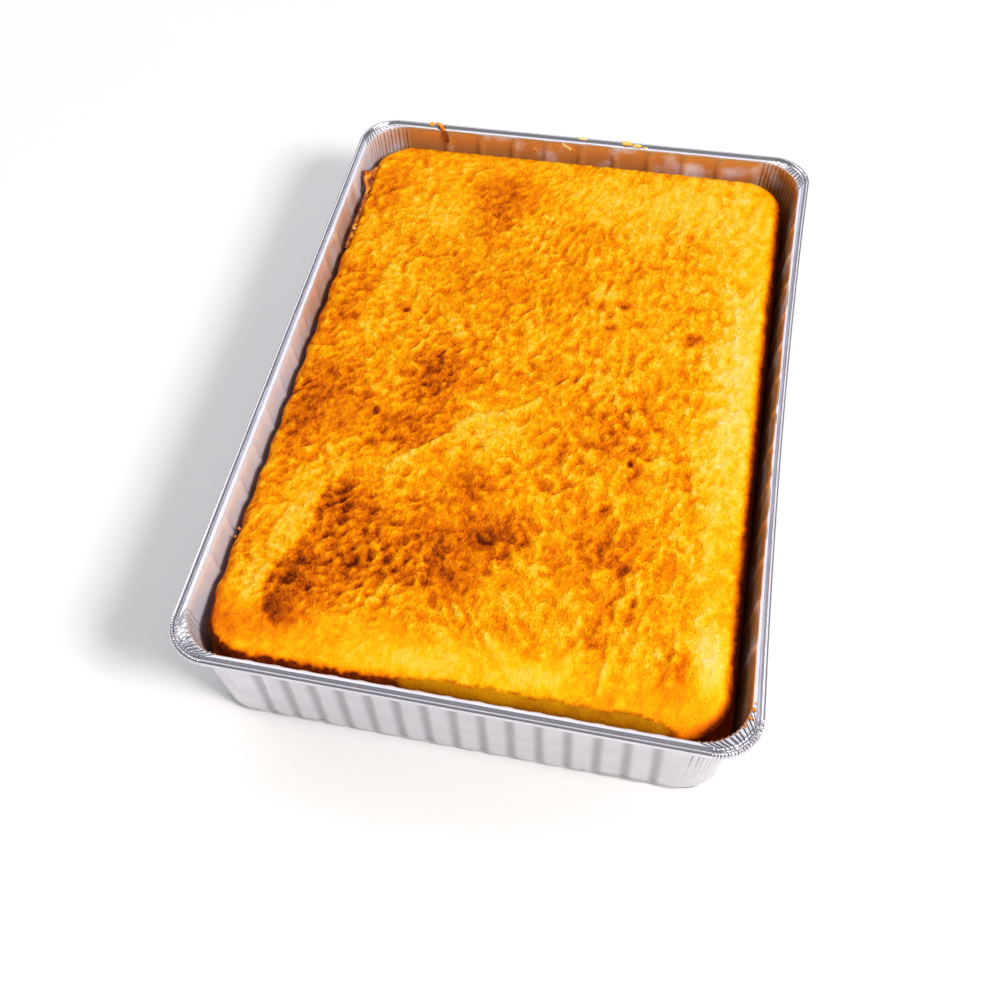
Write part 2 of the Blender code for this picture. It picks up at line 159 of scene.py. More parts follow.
# Where the skin is flakier than elsewhere: x, y, half width, half length, how much more.
FLAKIER = ((-56, -104, 46, 50, 0.55), (46, -30, 44, 74, 0.6), (-40, 6, 40, 34, 0.4))

# Along the front the crust stops at a ragged lip, and a smooth browned collar shows below it; its colour
# is darkened further as painted shade of the front rim.
COLLAR_FROM, COLLAR_TO, COLLAR_WIDTH, COLLAR_DROP = -40.0, 92.0, 4.8, 1.3

# Browning of the crust: x, y, half width, half length, how much browner (or, below 0, paler).
# A few entries are painted light instead, as marked.
BROWNING_AND_PAINTED_LIGHT = (
    (-30, 130, 34, 24, 0.26), (-38, 108, 20, 24, 0.16), (-97, 125, 14, 34, 0.22), (-98, 40, 16, 50, 0.20),
    (-99, -30, 14, 50, 0.20), (-42, 4, 34, 28, 0.34), (-88, -30, 34, 72, 0.20), (-46, -30, 34, 34, 0.26),
    (-62, -84, 24, 30, 0.30), (-20, -92, 50, 32, 0.34), (4, -82, 24, 18, 0.20), (-14, -62, 18, 16, 0.26),
    (-76, -124, 24, 26, 0.32), (-56, -110, 34, 24, 0.28), (-14, -112, 30, 16, 0.28),
    (-82, -142, 16, 14, 0.22), (86, -134, 12, 20, 0.34), (48, -18, 26, 26, 0.14), (52, -122, 9, 24, 0.22),
    (44, -88, 30, 34, 0.16), (-104, -144, 20, 22, 0.26), (-30, 66, 80, 60, 0.10), (30, -30, 60, 90, 0.08),
    # The paler strip along the right shoulder, (95, 16), and the paler patch at the front right, (96, -128),
    # are painted highlight.
    (95, 16, 22, 172, -0.27), (62, -84, 26, 40, 0.12), (96, -128, 14, 28, -0.34),
    (66, 132, 62, 46, -0.20), (18, -150, 58, 18, -0.18), (-30, -150, 44, 14, -0.12),
    (-88, -92, 9, 34, -0.17), (-96, -124, 10, 24, -0.12), (-14, -30, 30, 18, -0.20),
    (-84, -56, 16, 26, -0.12), (14, 134, 24, 28, -0.16), (-64, 106, 24, 24, -0.14),
    # The strong patches on the pits, on this line and the next, are painted shade.
    (-80, 52, 9, 44, -0.12), (73, 42, 6.4, 7.6, 0.62), (38, 59, 5, 5.6, 0.50), (33, 43, 5.8, 5, 0.50),
    (-67, 39, 3, 3.6, 0.60), (-66, -26, 2.8, 4.2, 0.60), (53, -36, 2.4, 3.6, 0.50), (8, -76, 9, 7, 0.18),
)

# The torn shred along the left wall.
SHRED_FROM, SHRED_TO = 142.0, 78.0
SHRED_X = -109.7
SHRED_WIDTH = 2.8
SHRED_JAG, SHRED_JAG_LENGTH = 1.1, 3.1
SHRED_WAVE, SHRED_WAVE_LENGTH = 0.8, 7.0
SHRED_LIFT = 0.2
FLAP_Y, FLAP_REACH = 131.0, 11.0
FLAP_WIDTH, FLAP_CLIMB = 3.0, 4.4
SHRED_STEP = 0.45
SHRED_ACROSS = 9
SHRED_THICK = 0.9

# The drip over the back rim: x at its start, and its slant towards +X for each step of its way.
DRIP_X, DRIP_SLANT, DRIP_WIDTH, DRIP_THICK = -80.5, 1.4, 3.0, 0.7
DRIP_END = 2.0
DRIP_STEPS = 8
DRIP_ACROSS = 10

# Dabs of batter on the back rim: x, y, height, half width, half length, thickness, browning.
DABS = (
    (0.2, 170.4, 60.9, 2.6, 1.0, 0.35, 0.06),
    (24.0, 170.0, 60.9, 2.8, 1.5, 0.75, 0.20),
    (29.6, 169.3, 60.5, 2.4, 1.3, 0.60, 0.14),
    (33.8, 168.6, 60.1, 1.3, 0.8, 0.40, 0.10),
    (-83.2, 170.4, 60.9, 1.5, 1.4, 0.6, 0.30),
)
# Smears down the back wall: from x and height to x and height, half width, browning.
SMEARS = (
    (-10.0, 58.8, -6.2, 56.4, 0.9, 0.05),
    (-6.0, 57.2, -2.4, 53.6, 0.6, 0.35),
    (-26.0, 54.6, -24.0, 53.6, 0.5, 0.30),
)
# Crumbs caught on the front right corner's ledge and by the shred: x, y, height, size, browning.
CRUMBS = (
    (115.2, -149.6, 60.5, 1.5, 0.36),
    (114.2, -153.4, 60.5, 1.3, 0.42),
    (112.4, -157.0, 60.4, 1.0, 0.55),
    (115.6, -146.8, 60.4, 0.8, 0.30),
    (-107.4, 90.6, 53.2, 1.2, -0.20),
    (-108.6, 97.0, 53.0, 0.8, 0.40),
    (-109.0, -101.0, 51.4, 1.4, 0.50),
    (-109.6, -105.0, 51.0, 1.1, 0.60),
)

# The specks: how far in from the bread's edge they start, their patch's mesh, and their radii.
SPECK_INSET, SPECK_STEP, SPECK_SMALLEST, SPECK_LARGEST, SPECK_SEED = 10.0, 4.0, 0.16, 0.42, 11

# The floor, just under the pan, and the place in metres that the lights face.
FLOOR_HALF, FLOOR_GAP = 2500.0, 0.05
LIT_PLACE = (0, 0, 0.05)

# The camera in the pan's own frame: turn, height and roll in degrees, distance and target.
CAMERA_TURN, CAMERA_RISE, CAMERA_ROLL = 17.594, 52.219, -5.780
CAMERA_DISTANCE = 659.93
CAMERA_TARGET = (-50.498, -5.928, 0.0)
CAMERA_LENS, CAMERA_SENSOR = 47.16, 36.0
CAMERA_SHIFT = (0.0751, -0.0502)


def linear(colour):
    """An sRGB hex colour such as #C8A050 as linear red, green and blue."""
    shares = [int(colour[k : k + 2], 16) / 255 for k in (1, 3, 5)]
    return tuple(c / 12.92 if c <= 0.04045 else ((c + 0.055) / 1.055) ** 2.4 for c in shares)


def opaque(colour):
    """The same with full alpha, as a node's colour takes it."""
    return (*linear(colour), 1.0)


def smooth(value):
    value = min(max(value, 0.0), 1.0)
    return value * value * (3.0 - 2.0 * value)


def wobble(x, y=0.0, z=0.0):
    """Smooth noise at a place, from about -1 to 1."""
    return noise.noise(Vector((x, y, z)))


def set_inputs(node, inputs):
    """Set or link a node's inputs, given in order or by name."""
    for key, value in inputs.items() if isinstance(inputs, dict) else enumerate(inputs):
        if isinstance(value, bpy.types.NodeSocket):
            node.id_data.links.new(value, node.inputs[key])
        else:
            node.inputs[key].default_value = value


def add_node(tree, kind, inputs=(), out=0, **settings):
    """Add a node with its properties and inputs, and return one of its outputs.

    A shader node's kind is given without its prefix.
    """
    node = tree.nodes.new(kind if "Node" in kind else "ShaderNode" + kind)
    for name, value in settings.items():
        setattr(node, name, value)
    set_inputs(node, inputs)
    return node.outputs[out] if node.outputs else None


def set_ramp(socket, stops):
    """Give a colour ramp its stops, a place and a hex colour each, and return its colour."""
    ramp = socket.node.color_ramp
    while len(ramp.elements) < len(stops):
        ramp.elements.new(0.5)
    for element, (place, colour) in zip(ramp.elements, stops):
        element.position = place
        element.color = opaque(colour)
    return socket


def new_material(name):
    """A material with an empty Principled shader, its tree, and the place on the object."""
    material = bpy.data.materials.new(name)
    material.use_nodes = True
    tree = material.node_tree
    return material, tree, tree.nodes["Principled BSDF"], add_node(tree, "TexCoord", out=3)


# Foil: thin rolled aluminium, pressed in a die. Bright and hardly rough, with shallow dents that
# make its reflections waver. Inside, the oven has dulled it with a thin baked film of fat and
# batter: paler, rougher and tan in patches, the tan partly a painted reflection of the bread.
# The die's folds and ribs and the outer wall's foot are darkened with painted shade.
def pressed_foil(settings):
    material, tree, shader, place = new_material("pressed aluminium foil")
    dulled, tanned, creased = (add_node(tree, "Attribute", attribute_name=name, out=2)
                               for name in ("dulled", "tanned", "creased"))
    dents, grain, film = (
        add_node(tree, "TexNoise", {"Vector": place, "Scale": 1 / (across * MM), "Detail": detail})
        for across, detail in ((9, 3.0), (1.1, 2.0), (16, 4.0)))
    spread, bright, rough = (add_node(tree, "MapRange", span) for span in (
        (film, 0.26, 0.48), (dulled, 0.0, 1.0, 0.96, 0.30), (dents, 0.3, 0.7, 0.15, 0.27)))
    spread = add_node(tree, "Math", (spread, tanned), operation="MULTIPLY")
    rough = add_node(tree, "Math", (dulled, 0.14, rough), operation="MULTIPLY_ADD")
    # The film's tan end stands partly for a baked film and partly for a painted reflection of the bread.
    filmed, bare = (add_node(tree, "Mix", {0: share, 6: opaque(pale), 7: dark}, 2, data_type="RGBA")
                    for share, pale, dark in ((spread, "#E9EAF5", opaque("#CE8C40")),
                                              (dents, "#E6E5EC", (*settings.foil, 1.0))))
    tint = add_node(tree, "Mix", {0: dulled, 6: bare, 7: filmed}, 2, data_type="RGBA")
    # Painted shade: the tint darkens towards grey in the folds, on the ribs and at the outer wall's foot.
    tint = add_node(tree, "Mix", {0: creased, 6: tint, 7: opaque("#4C4852")}, 2, data_type="RGBA")
    low = add_node(tree, "Bump", {"Strength": 0.5, "Distance": 0.35 * MM, "Height": dents})
    fine = add_node(tree, "Bump", {"Strength": 0.35, "Distance": 0.05 * MM, "Height": grain, "Normal": low})
    set_inputs(shader, {"Base Color": tint, "Metallic": bright, "Roughness": rough, "Normal": fine})
    return material


# Crust: batter set and browned by dry heat, so golden where it is thin and brown where sugar
# and fat have darkened. Nearly matt, with a fine dry grain of meal. Its mottling and flakes are
# about 2 to 3 mm across, drawn out along the pan, and its few open pores are brown. Its tone
# follows the bumps, paler on their tops and browner between: painted highlight and shade.
def baked_crust(settings):
    material, tree, shader, place = new_material("baked cornbread crust")
    browned, collar, flaky = (add_node(tree, "Attribute", attribute_name=name, out=2)
                              for name in ("browning", "collar", "flaky"))
    drawn = add_node(tree, "VectorMath", (place, (1.0, 0.62, 1.0)), operation="MULTIPLY")
    mottle = add_node(tree, "TexNoise", {"Vector": drawn, "Scale": 1 / (2.8 * MM), "Detail": 4.0,
                                         "Roughness": 0.6, "Distortion": 0.6})
    folds = add_node(tree, "TexNoise", {"Vector": drawn, "Scale": 1 / (1.9 * MM), "Detail": 2.0,
                                        "Distortion": 1.2})
    grain = add_node(tree, "TexNoise", {"Vector": place, "Scale": 1 / (0.7 * MM), "Detail": 2.0})
    pores = add_node(tree, "TexVoronoi", {"Vector": place, "Scale": 1 / (3.4 * MM)})
    flakes, scales = (add_node(tree, "MapRange", span, interpolation_type="SMOOTHSTEP")
                      for span in ((mottle, 0.42, 0.58), (folds, 0.40, 0.60)))
    # The flakes' and folds' tones follow their bumps, paler on top and browner in the hollows: painted
    # highlight and painted shade.
    swing, fold_light_and_shade, dust, fleck, calm, depth, rough = (add_node(tree, "MapRange", span) for span in (
        (flakes, 0.0, 1.0, 0.055, -0.055), (folds, 0.3, 0.7, 0.085, -0.085), (grain, 0.3, 0.7, -0.015, 0.015),
        (pores, 0.05, 0.15, 0.20, 0.0), (collar, 0.0, 1.0, 1.0, 0.35), (flaky, 0.1, 1.0, 0.35, 1.0),
        (mottle, 0.3, 0.7, 0.40, 0.60)))
    tone = add_node(tree, "Math", (swing, fold_light_and_shade), operation="ADD")
    calm = add_node(tree, "Math", (calm, depth), operation="MULTIPLY")
    tone = add_node(tree, "Math", (tone, calm, browned), operation="MULTIPLY_ADD")
    for spots in (dust, fleck):
        tone = add_node(tree, "Math", (tone, spots), operation="ADD")
    # The collar's band is brown, and darker still as painted shade of the front rim.
    crust, collar_brown_and_shade = (set_ramp(add_node(tree, "ValToRGB", (tone,)), stops) for stops in (
        ((0.0, "#FBD084"), (0.14, "#FEC84A"), (0.30, "#FDB608"), (0.46, "#F49600"), (0.62, "#E47600"),
         (0.80, "#B85000"), (1.0, "#5C1C02")),
        ((0.3, "#BE8200"), (0.6, "#9A5E00"), (1.0, "#4A1C00"))))
    colour = add_node(tree, "Mix", {0: collar, 6: crust, 7: collar_brown_and_shade}, 2, data_type="RGBA")
    low = add_node(tree, "Bump", {"Strength": depth, "Distance": 0.29 * MM, "Height": flakes})
    mid = add_node(tree, "Bump", {"Strength": depth, "Distance": 0.20 * MM, "Height": scales, "Normal": low})
    fine = add_node(tree, "Bump", {"Strength": 0.6, "Distance": 0.10 * MM, "Height": grain, "Normal": mid})
    set_inputs(shader, {"Base Color": colour, "Roughness": rough, "Normal": fine,
                        "Specular IOR Level": settings.sheen_level})
    return material


# Torn crust and dried batter: the same crust, baked darker and drier where it is thin.
def dried_batter():
    material, tree, shader, place = new_material("dried browned batter")
    browned = add_node(tree, "Attribute", attribute_name="browning", out=2)
    mottle = add_node(tree, "TexNoise", {"Vector": place, "Scale": 1 / (2.2 * MM), "Detail": 4.0})
    swing = add_node(tree, "MapRange", (mottle, 0.3, 0.7, -0.16, 0.16))
    tone = add_node(tree, "Math", (browned, swing), operation="ADD")
    colour = set_ramp(add_node(tree, "ValToRGB", (tone,)), (
        (0.0, "#F6E6B4"), (0.2, "#F5C64E"), (0.42, "#E8920F"), (0.62, "#BE5A08"), (0.82, "#7C2E06"),
        (1.0, "#3A1204")))
    grit = add_node(tree, "Bump", {"Strength": 0.7, "Distance": 0.12 * MM, "Height": mottle})
    set_inputs(shader, {"Base Color": colour, "Normal": grit, "Roughness": 0.42, "Specular IOR Level": 0.35})
    return material


# Specks: browned scraps of bran and toasted meal on the crust, matt and dark.
def toasted_meal():
    material, tree, shader, place = new_material("toasted corn meal")
    cloud = add_node(tree, "TexNoise", {"Vector": place, "Scale": 1 / (14 * MM), "Detail": 2.0})
    colour = set_ramp(add_node(tree, "ValToRGB", (cloud,)),
                      ((0.35, "#8A4306"), (0.5, "#B8660A"), (0.65, "#6A2C05")))
    set_inputs(shader, {"Base Color": colour, "Roughness": 0.7})
    return material


# Studio floor: matt painted board, nearly white.
def painted_board(settings):
    material, tree, shader, place = new_material("matt painted board")
    cloud = add_node(tree, "TexNoise", {"Vector": place, "Scale": 3.0, "Detail": 2.0})
    tint = add_node(tree, "Mix", {0: cloud, 6: (*settings.floor, 1.0), 7: opaque("#F6F5F6")}, 2,
                    data_type="RGBA")
    set_inputs(shader, {"Base Color": tint, "Roughness": 0.9, "Specular IOR Level": 0.1})
    return material


def new_object(name, data):
    thing = bpy.data.objects.new(name, data)
    bpy.context.scene.collection.objects.link(thing)
    return thing


def mesh_from(points, faces, attributes=None):
    """A smooth mesh from points in millimetres, with float attributes on its points."""
    mesh = bpy.data.meshes.new("mesh")
    mesh.from_pydata([(x * MM, y * MM, z * MM) for x, y, z in points], [], faces)
    for name, values in (attributes or {}).items():
        layer = mesh.attributes.new(name, "FLOAT", "POINT")
        layer.data.foreach_set("value", np.array(values, np.float32))
    mesh.shade_smooth()
    return mesh


def close_mesh(mesh, cap=False):
    """Merge doubles, fill what is open if asked, and turn all faces outwards."""
    builder = bmesh.new()
    builder.from_mesh(mesh)
    bmesh.ops.remove_doubles(builder, verts=builder.verts, dist=0.002 * MM)
    if cap:
        open_edges = [edge for edge in builder.edges if edge.is_boundary]
        bmesh.ops.holes_fill(builder, edges=open_edges, sides=0)
    bmesh.ops.recalc_face_normals(builder, faces=builder.faces)
    builder.to_mesh(mesh)
    builder.free()


def finish_piece(piece, node, material=None):
    """Hand a finished piece to the frame: it rides on the one body and may stand for a node."""
    if material:
        piece.data.materials.append(material)
    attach(piece, BODY)
    if node:
        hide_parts(node)


def bake_nodes(name, carrier, tree, values):
    """Run a geometry tree on a carrier object and keep the result as a plain mesh object."""
    modifier = carrier.modifiers.new(name, "NODES")
    modifier.node_group = tree
    for item in tree.interface.items_tree:
        if item.item_type == "SOCKET" and item.in_out == "INPUT" and item.name in values:
            modifier[item.identifier] = values[item.name]
    graph = bpy.context.evaluated_depsgraph_get()
    graph.update()
    mesh = bpy.data.meshes.new_from_object(carrier.evaluated_get(graph))
    carrier.modifiers.remove(modifier)
    bpy.data.objects.remove(carrier, do_unlink=True)
    return new_object(name, mesh)


def geometry_tree(name, inputs):
    """An empty geometry tree with its inputs, a name and a kind each, and their outputs."""
    tree = bpy.data.node_groups.new(name, "GeometryNodeTree")
    tree.interface.new_socket("Geometry", in_out="OUTPUT", socket_type="NodeSocketGeometry")
    for label, kind in {"Geometry": "Geometry", **inputs}.items():
        tree.interface.new_socket(label, in_out="INPUT", socket_type="NodeSocket" + kind)
    return tree, tree.nodes.new("NodeGroupInput").outputs


def end_tree(tree, geometry, material):
    """Every tree ends in Realize Instances and Set Material."""
    real = add_node(tree, "GeometryNodeRealizeInstances", (geometry,))
    dressed = add_node(tree, "GeometryNodeSetMaterial", {0: real, "Material": material})
    add_node(tree, "NodeGroupOutput", (dressed,))


# The foil pan.
def wall_inset(z):
    share = min(max((z - FOOT_ROUND) / (LEDGE_Z - FOOT_ROUND), 0.0), 1.0)
    return WALL_FOOT_INSET + (WALL_TOP_INSET - WALL_FOOT_INSET) * share


def wall_corner(z):
    share = min(max(z / PAN_TOP, 0.0), 1.0)
    return WALL_FOOT_CORNER + (WALL_TOP_CORNER - WALL_FOOT_CORNER) * share


def row_corner(inset, z):
    """The bead's corners share one centre, and across the ledge they open out to the wall's radius."""
    ledge_from, ledge_to = BEAD_WIDTH + GROOVE_WIDTH, WALL_TOP_INSET - FOIL
    if inset < ledge_to:
        share = max(0.0, (inset - ledge_from) / (ledge_to - ledge_from))
        return RIM_CORNER - inset + (WALL_TOP_CORNER + WALL_TOP_INSET - RIM_CORNER) * share
    if z >= FOOT_ROUND:
        return wall_corner(z) + wall_inset(z) - inset
    return WALL_FOOT_CORNER + WALL_FOOT_INSET - inset


def rib_share(share, z):
    """A rib's height at a share of the wall: it grows from the foot and fades under the ledge."""
    return min(1.0, 0.5 + share) * (0.25 + 0.75 * smooth((LEDGE_Z - z) / RIB_FADE))


def pleat_share(share):
    """The corner's pleats grow up the wall."""
    return 0.6 * smooth(share * 1.6 - 0.3)


def section_rows():
    """The foil's section, from the floor over the rim to the underside, each row as ROW_LABELS."""
    rows = []
    for k in range(7):
        turn = math.radians(15 * k)
        inset = WALL_FOOT_INSET + FOOT_ROUND * (1 - math.sin(turn))
        z = FOIL + (FOOT_ROUND - FOIL) * (1 - math.cos(turn))
        rows.append((inset, z, 0.08 * k, 0, 0, 0, 0, 0, 1))
    low, high, steps = FOOT_ROUND, LEDGE_Z - 0.6, 16
    # Up the inside, painted shade goes into the pleats and ribs.
    for k in range(1, steps + 1):
        share = k / steps
        z = low + (high - low) * share
        rows.append((wall_inset(z), z, rib_share(share, z), pleat_share(share), 0, 0, WALL_BOW_SHARE * share,
                     1, 1, 0.7 * share, 0, 0.12))
    ledge_from, ledge_to = BEAD_WIDTH + GROOVE_WIDTH, WALL_TOP_INSET - 0.6
    groove_z = PAN_TOP - GROOVE_DEPTH
    # Across the ledge and over the bead, painted shade goes into the pleats' and crimps' folds.
    rows += [
        (WALL_TOP_INSET - 0.2, LEDGE_Z - 0.2, 0.18, 0.5, 0.2, 0, 0.52, 0.9, 0.7, 0.8),
        (ledge_to, LEDGE_Z, 0.08, 0.3, 0.5, 0, 0.55, 0.9, 0.15, 0.9),
        (ledge_to - 0.45, LEDGE_Z - 0.12, 0, 0.1, 0.6, 0, 0.65, 0.6, 0, 0.9),
        (ledge_to - 0.8, LEDGE_Z + 0.02, 0, 0.05, 0.6, 0, 0.70, 0.5, 0, 0.9),
        (ledge_from + 0.25, LEDGE_Z, 0, 0, 0.5, 0, 0.75, 0.5, 0, 0.9, 0.2),
        (ledge_from, LEDGE_Z - 0.08, 0, 0, 0.35, 0.05, 0.8, 0.3, 0, 0.8, 0.4),
        (BEAD_WIDTH + GROOVE_WIDTH * 0.8, LEDGE_Z - 0.5, 0, 0, 0.1, 0.05, 0.85, 0, 0, 0.5, 0.5),
        (BEAD_WIDTH + GROOVE_WIDTH * 0.5, groove_z, 0, 0, 0, 0, 0.9, 0, 0, 0.3, 0.6),
        (BEAD_WIDTH + GROOVE_WIDTH * 0.15, groove_z + 0.25, 0, 0, 0, 0.08, 0.95, 0, 0, 0, 0.7),
    ]
    half, middle = BEAD_WIDTH / 2, PAN_TOP - BEAD_DROP / 2
    for k in range(13):
        turn = math.radians(20 + 24 * k)
        inset = half + half * math.cos(turn)
        z = middle + BEAD_DROP / 2 * math.sin(turn)
        rows.append((inset, z, 0, 0, 0, 0.36 if k < 9 else 0.1, 1, 0.12, 0, 0, 0.9))
    rows += [
        (BEAD_WIDTH + GROOVE_WIDTH * 0.5, groove_z - FOIL * 1.5, 0, 0, 0, 0, 0.9),
        (WALL_TOP_INSET - FOIL - 0.6, LEDGE_Z - FOIL * 1.5, 0.2, 0, 0.3, 0, 0.6, 0.5, 0, 0, 0, 0.2),
    ]
    # Down the outside, painted shade goes into the ribs and pleats and grows towards the floor; the foot
    # below keeps it.
    for k in range(steps + 1):
        share = 1 - k / steps
        z = low + (LEDGE_Z - 1.4 - low) * share
        rows.append((wall_inset(z) - FOIL, z, rib_share(share, z), pleat_share(share), 0, 0,
                     WALL_BOW_SHARE * share, 1, 0, 0.5 * share, 0, 0.42, 0.17 - 0.10 * share))
    for k in range(6, -1, -1):
        turn = math.radians(15 * k)
        inset = WALL_FOOT_INSET - FOIL + (FOOT_ROUND + FOIL) * (1 - math.sin(turn))
        z = FOOT_ROUND * (1 - math.cos(turn))
        rows.append((inset, z, 0.08 * k, 0, 0, 0, 0, 0, 0, 0, 0, 0.06 * k, 0.17))
    return [row + (0,) * (len(ROW_LABELS) - len(row)) for row in rows]


def rib_stations(count, pitch, width):
    """Places along one side with the rib's share at each: close together at the ribs' edges."""
    flank = [(-1.0, 0.0), (-0.5, 0.16), (0.0, 0.5), (0.5, 0.84), (1.0, 1.0)]
    stations = []
    for k in range(count):
        centre = (k - (count - 1) / 2) * pitch
        if k:
            start, end = stations[-1][0], centre - width / 2 - RIB_EDGE
            steps = math.ceil((end - start) / PANEL_STEP)
            stations += [(start + (end - start) * n / steps, 0.0) for n in range(1, steps)]
        stations += [(centre - width / 2 + RIB_EDGE * t, w) for t, w in flank]
        stations += [(centre, 1.0)]
        stations += [(centre + width / 2 - RIB_EDGE * t, w) for t, w in reversed(flank)]
    return stations


def gathered(turn, count, salt):
    """Gathered foil along a corner: tilted flats between narrow folds. Gives reach and fold."""
    phase = turn * count + 0.25 * wobble(turn * count * 0.7, salt, 0.0)
    depth = 1.0 + 0.5 * wobble(turn * count * 1.3, salt, 4.0)
    fade = smooth(turn * 14) * smooth((1 - turn) * 14)
    from_fold = phase - round(phase)
    fold = fade * math.exp(-((from_fold / 0.11) ** 2))
    tilt = 0.35 + 1.1 * wobble(math.floor(phase + 0.5) * 1.7, salt, 8.0)
    return depth * (tilt * fade * from_fold - fold), fold


def rim_columns():
    """Every column round the pan, anticlockwise from the front wall's left end, as COLUMN_LABELS."""
    columns = []
    for number, (facing, count, pitch, width) in enumerate(SIDES):
        angle = math.radians(facing)
        out = Vector((round(math.cos(angle)), round(math.sin(angle)), 0))
        along = Vector((-out.y, out.x, 0))
        last = (count - 1) / 2 * pitch + width / 2 + RIB_EDGE
        wall_tan_reflect, next_wall_tan_reflect = TAN_AND_BREAD_REFLECTION[number], TAN_AND_BREAD_REFLECTION[(number + 1) % len(SIDES)]
        for k in range(SIDE_ENDS):
            t = 1 - k / SIDE_ENDS
            columns.append((along * (-last * (1 - t)), out - along * t, out, wall_tan_reflect))
        for place, rib in rib_stations(count, pitch, width):
            more = 0.0
            if facing == 180.0:
                more = smooth((place + last) / LEFT_TAN_START)
                more *= smooth((LEFT_TAN_END - place) / LEFT_TAN_FADE)
            columns.append((along * place, out, out, wall_tan_reflect + LEFT_TAN_AND_REFLECTION * more, rib))
        for k in range(1, SIDE_ENDS):
            t = k / SIDE_ENDS
            columns.append((along * (last * (1 - t)), out + along * t, out, wall_tan_reflect))
        for k in range(CORNER_COLUMNS + 1):
            turn = k / CORNER_COLUMNS
            ray = angle + math.pi / 2 * turn
            faces = Vector((math.cos(ray), math.sin(ray), 0))
            pleat, pleat_fold = gathered(turn, CORNER_PLEATS, number)
            crimp, crimp_fold = gathered(turn, CORNER_CRIMPS, number + 10.0)
            columns.append((Vector(), out + along, faces, wall_tan_reflect + (next_wall_tan_reflect - wall_tan_reflect) * turn, 0.0, pleat, crimp,
                            pleat_fold, crimp_fold))
    return [column + (0.0,) * (len(COLUMN_LABELS) - len(column)) for column in columns]


def carrier_line(name, points, cyclic, attributes):
    """A line of edges with named point attributes, for a geometry tree to read."""
    mesh = bpy.data.meshes.new(name)
    edges = [(k, k + 1) for k in range(len(points) - 1)]
    if cyclic:
        edges.append((len(points) - 1, 0))
    mesh.from_pydata(points, edges, [])
    for label, values in attributes.items():
        vector = hasattr(values[0], "__len__")
        layer = mesh.attributes.new(label, "FLOAT_VECTOR" if vector else "FLOAT", "POINT")
        flat = np.array([list(v) for v in values] if vector else values, np.float32).ravel()
        layer.data.foreach_set("vector" if vector else "value", flat)
    return new_object(name, mesh)


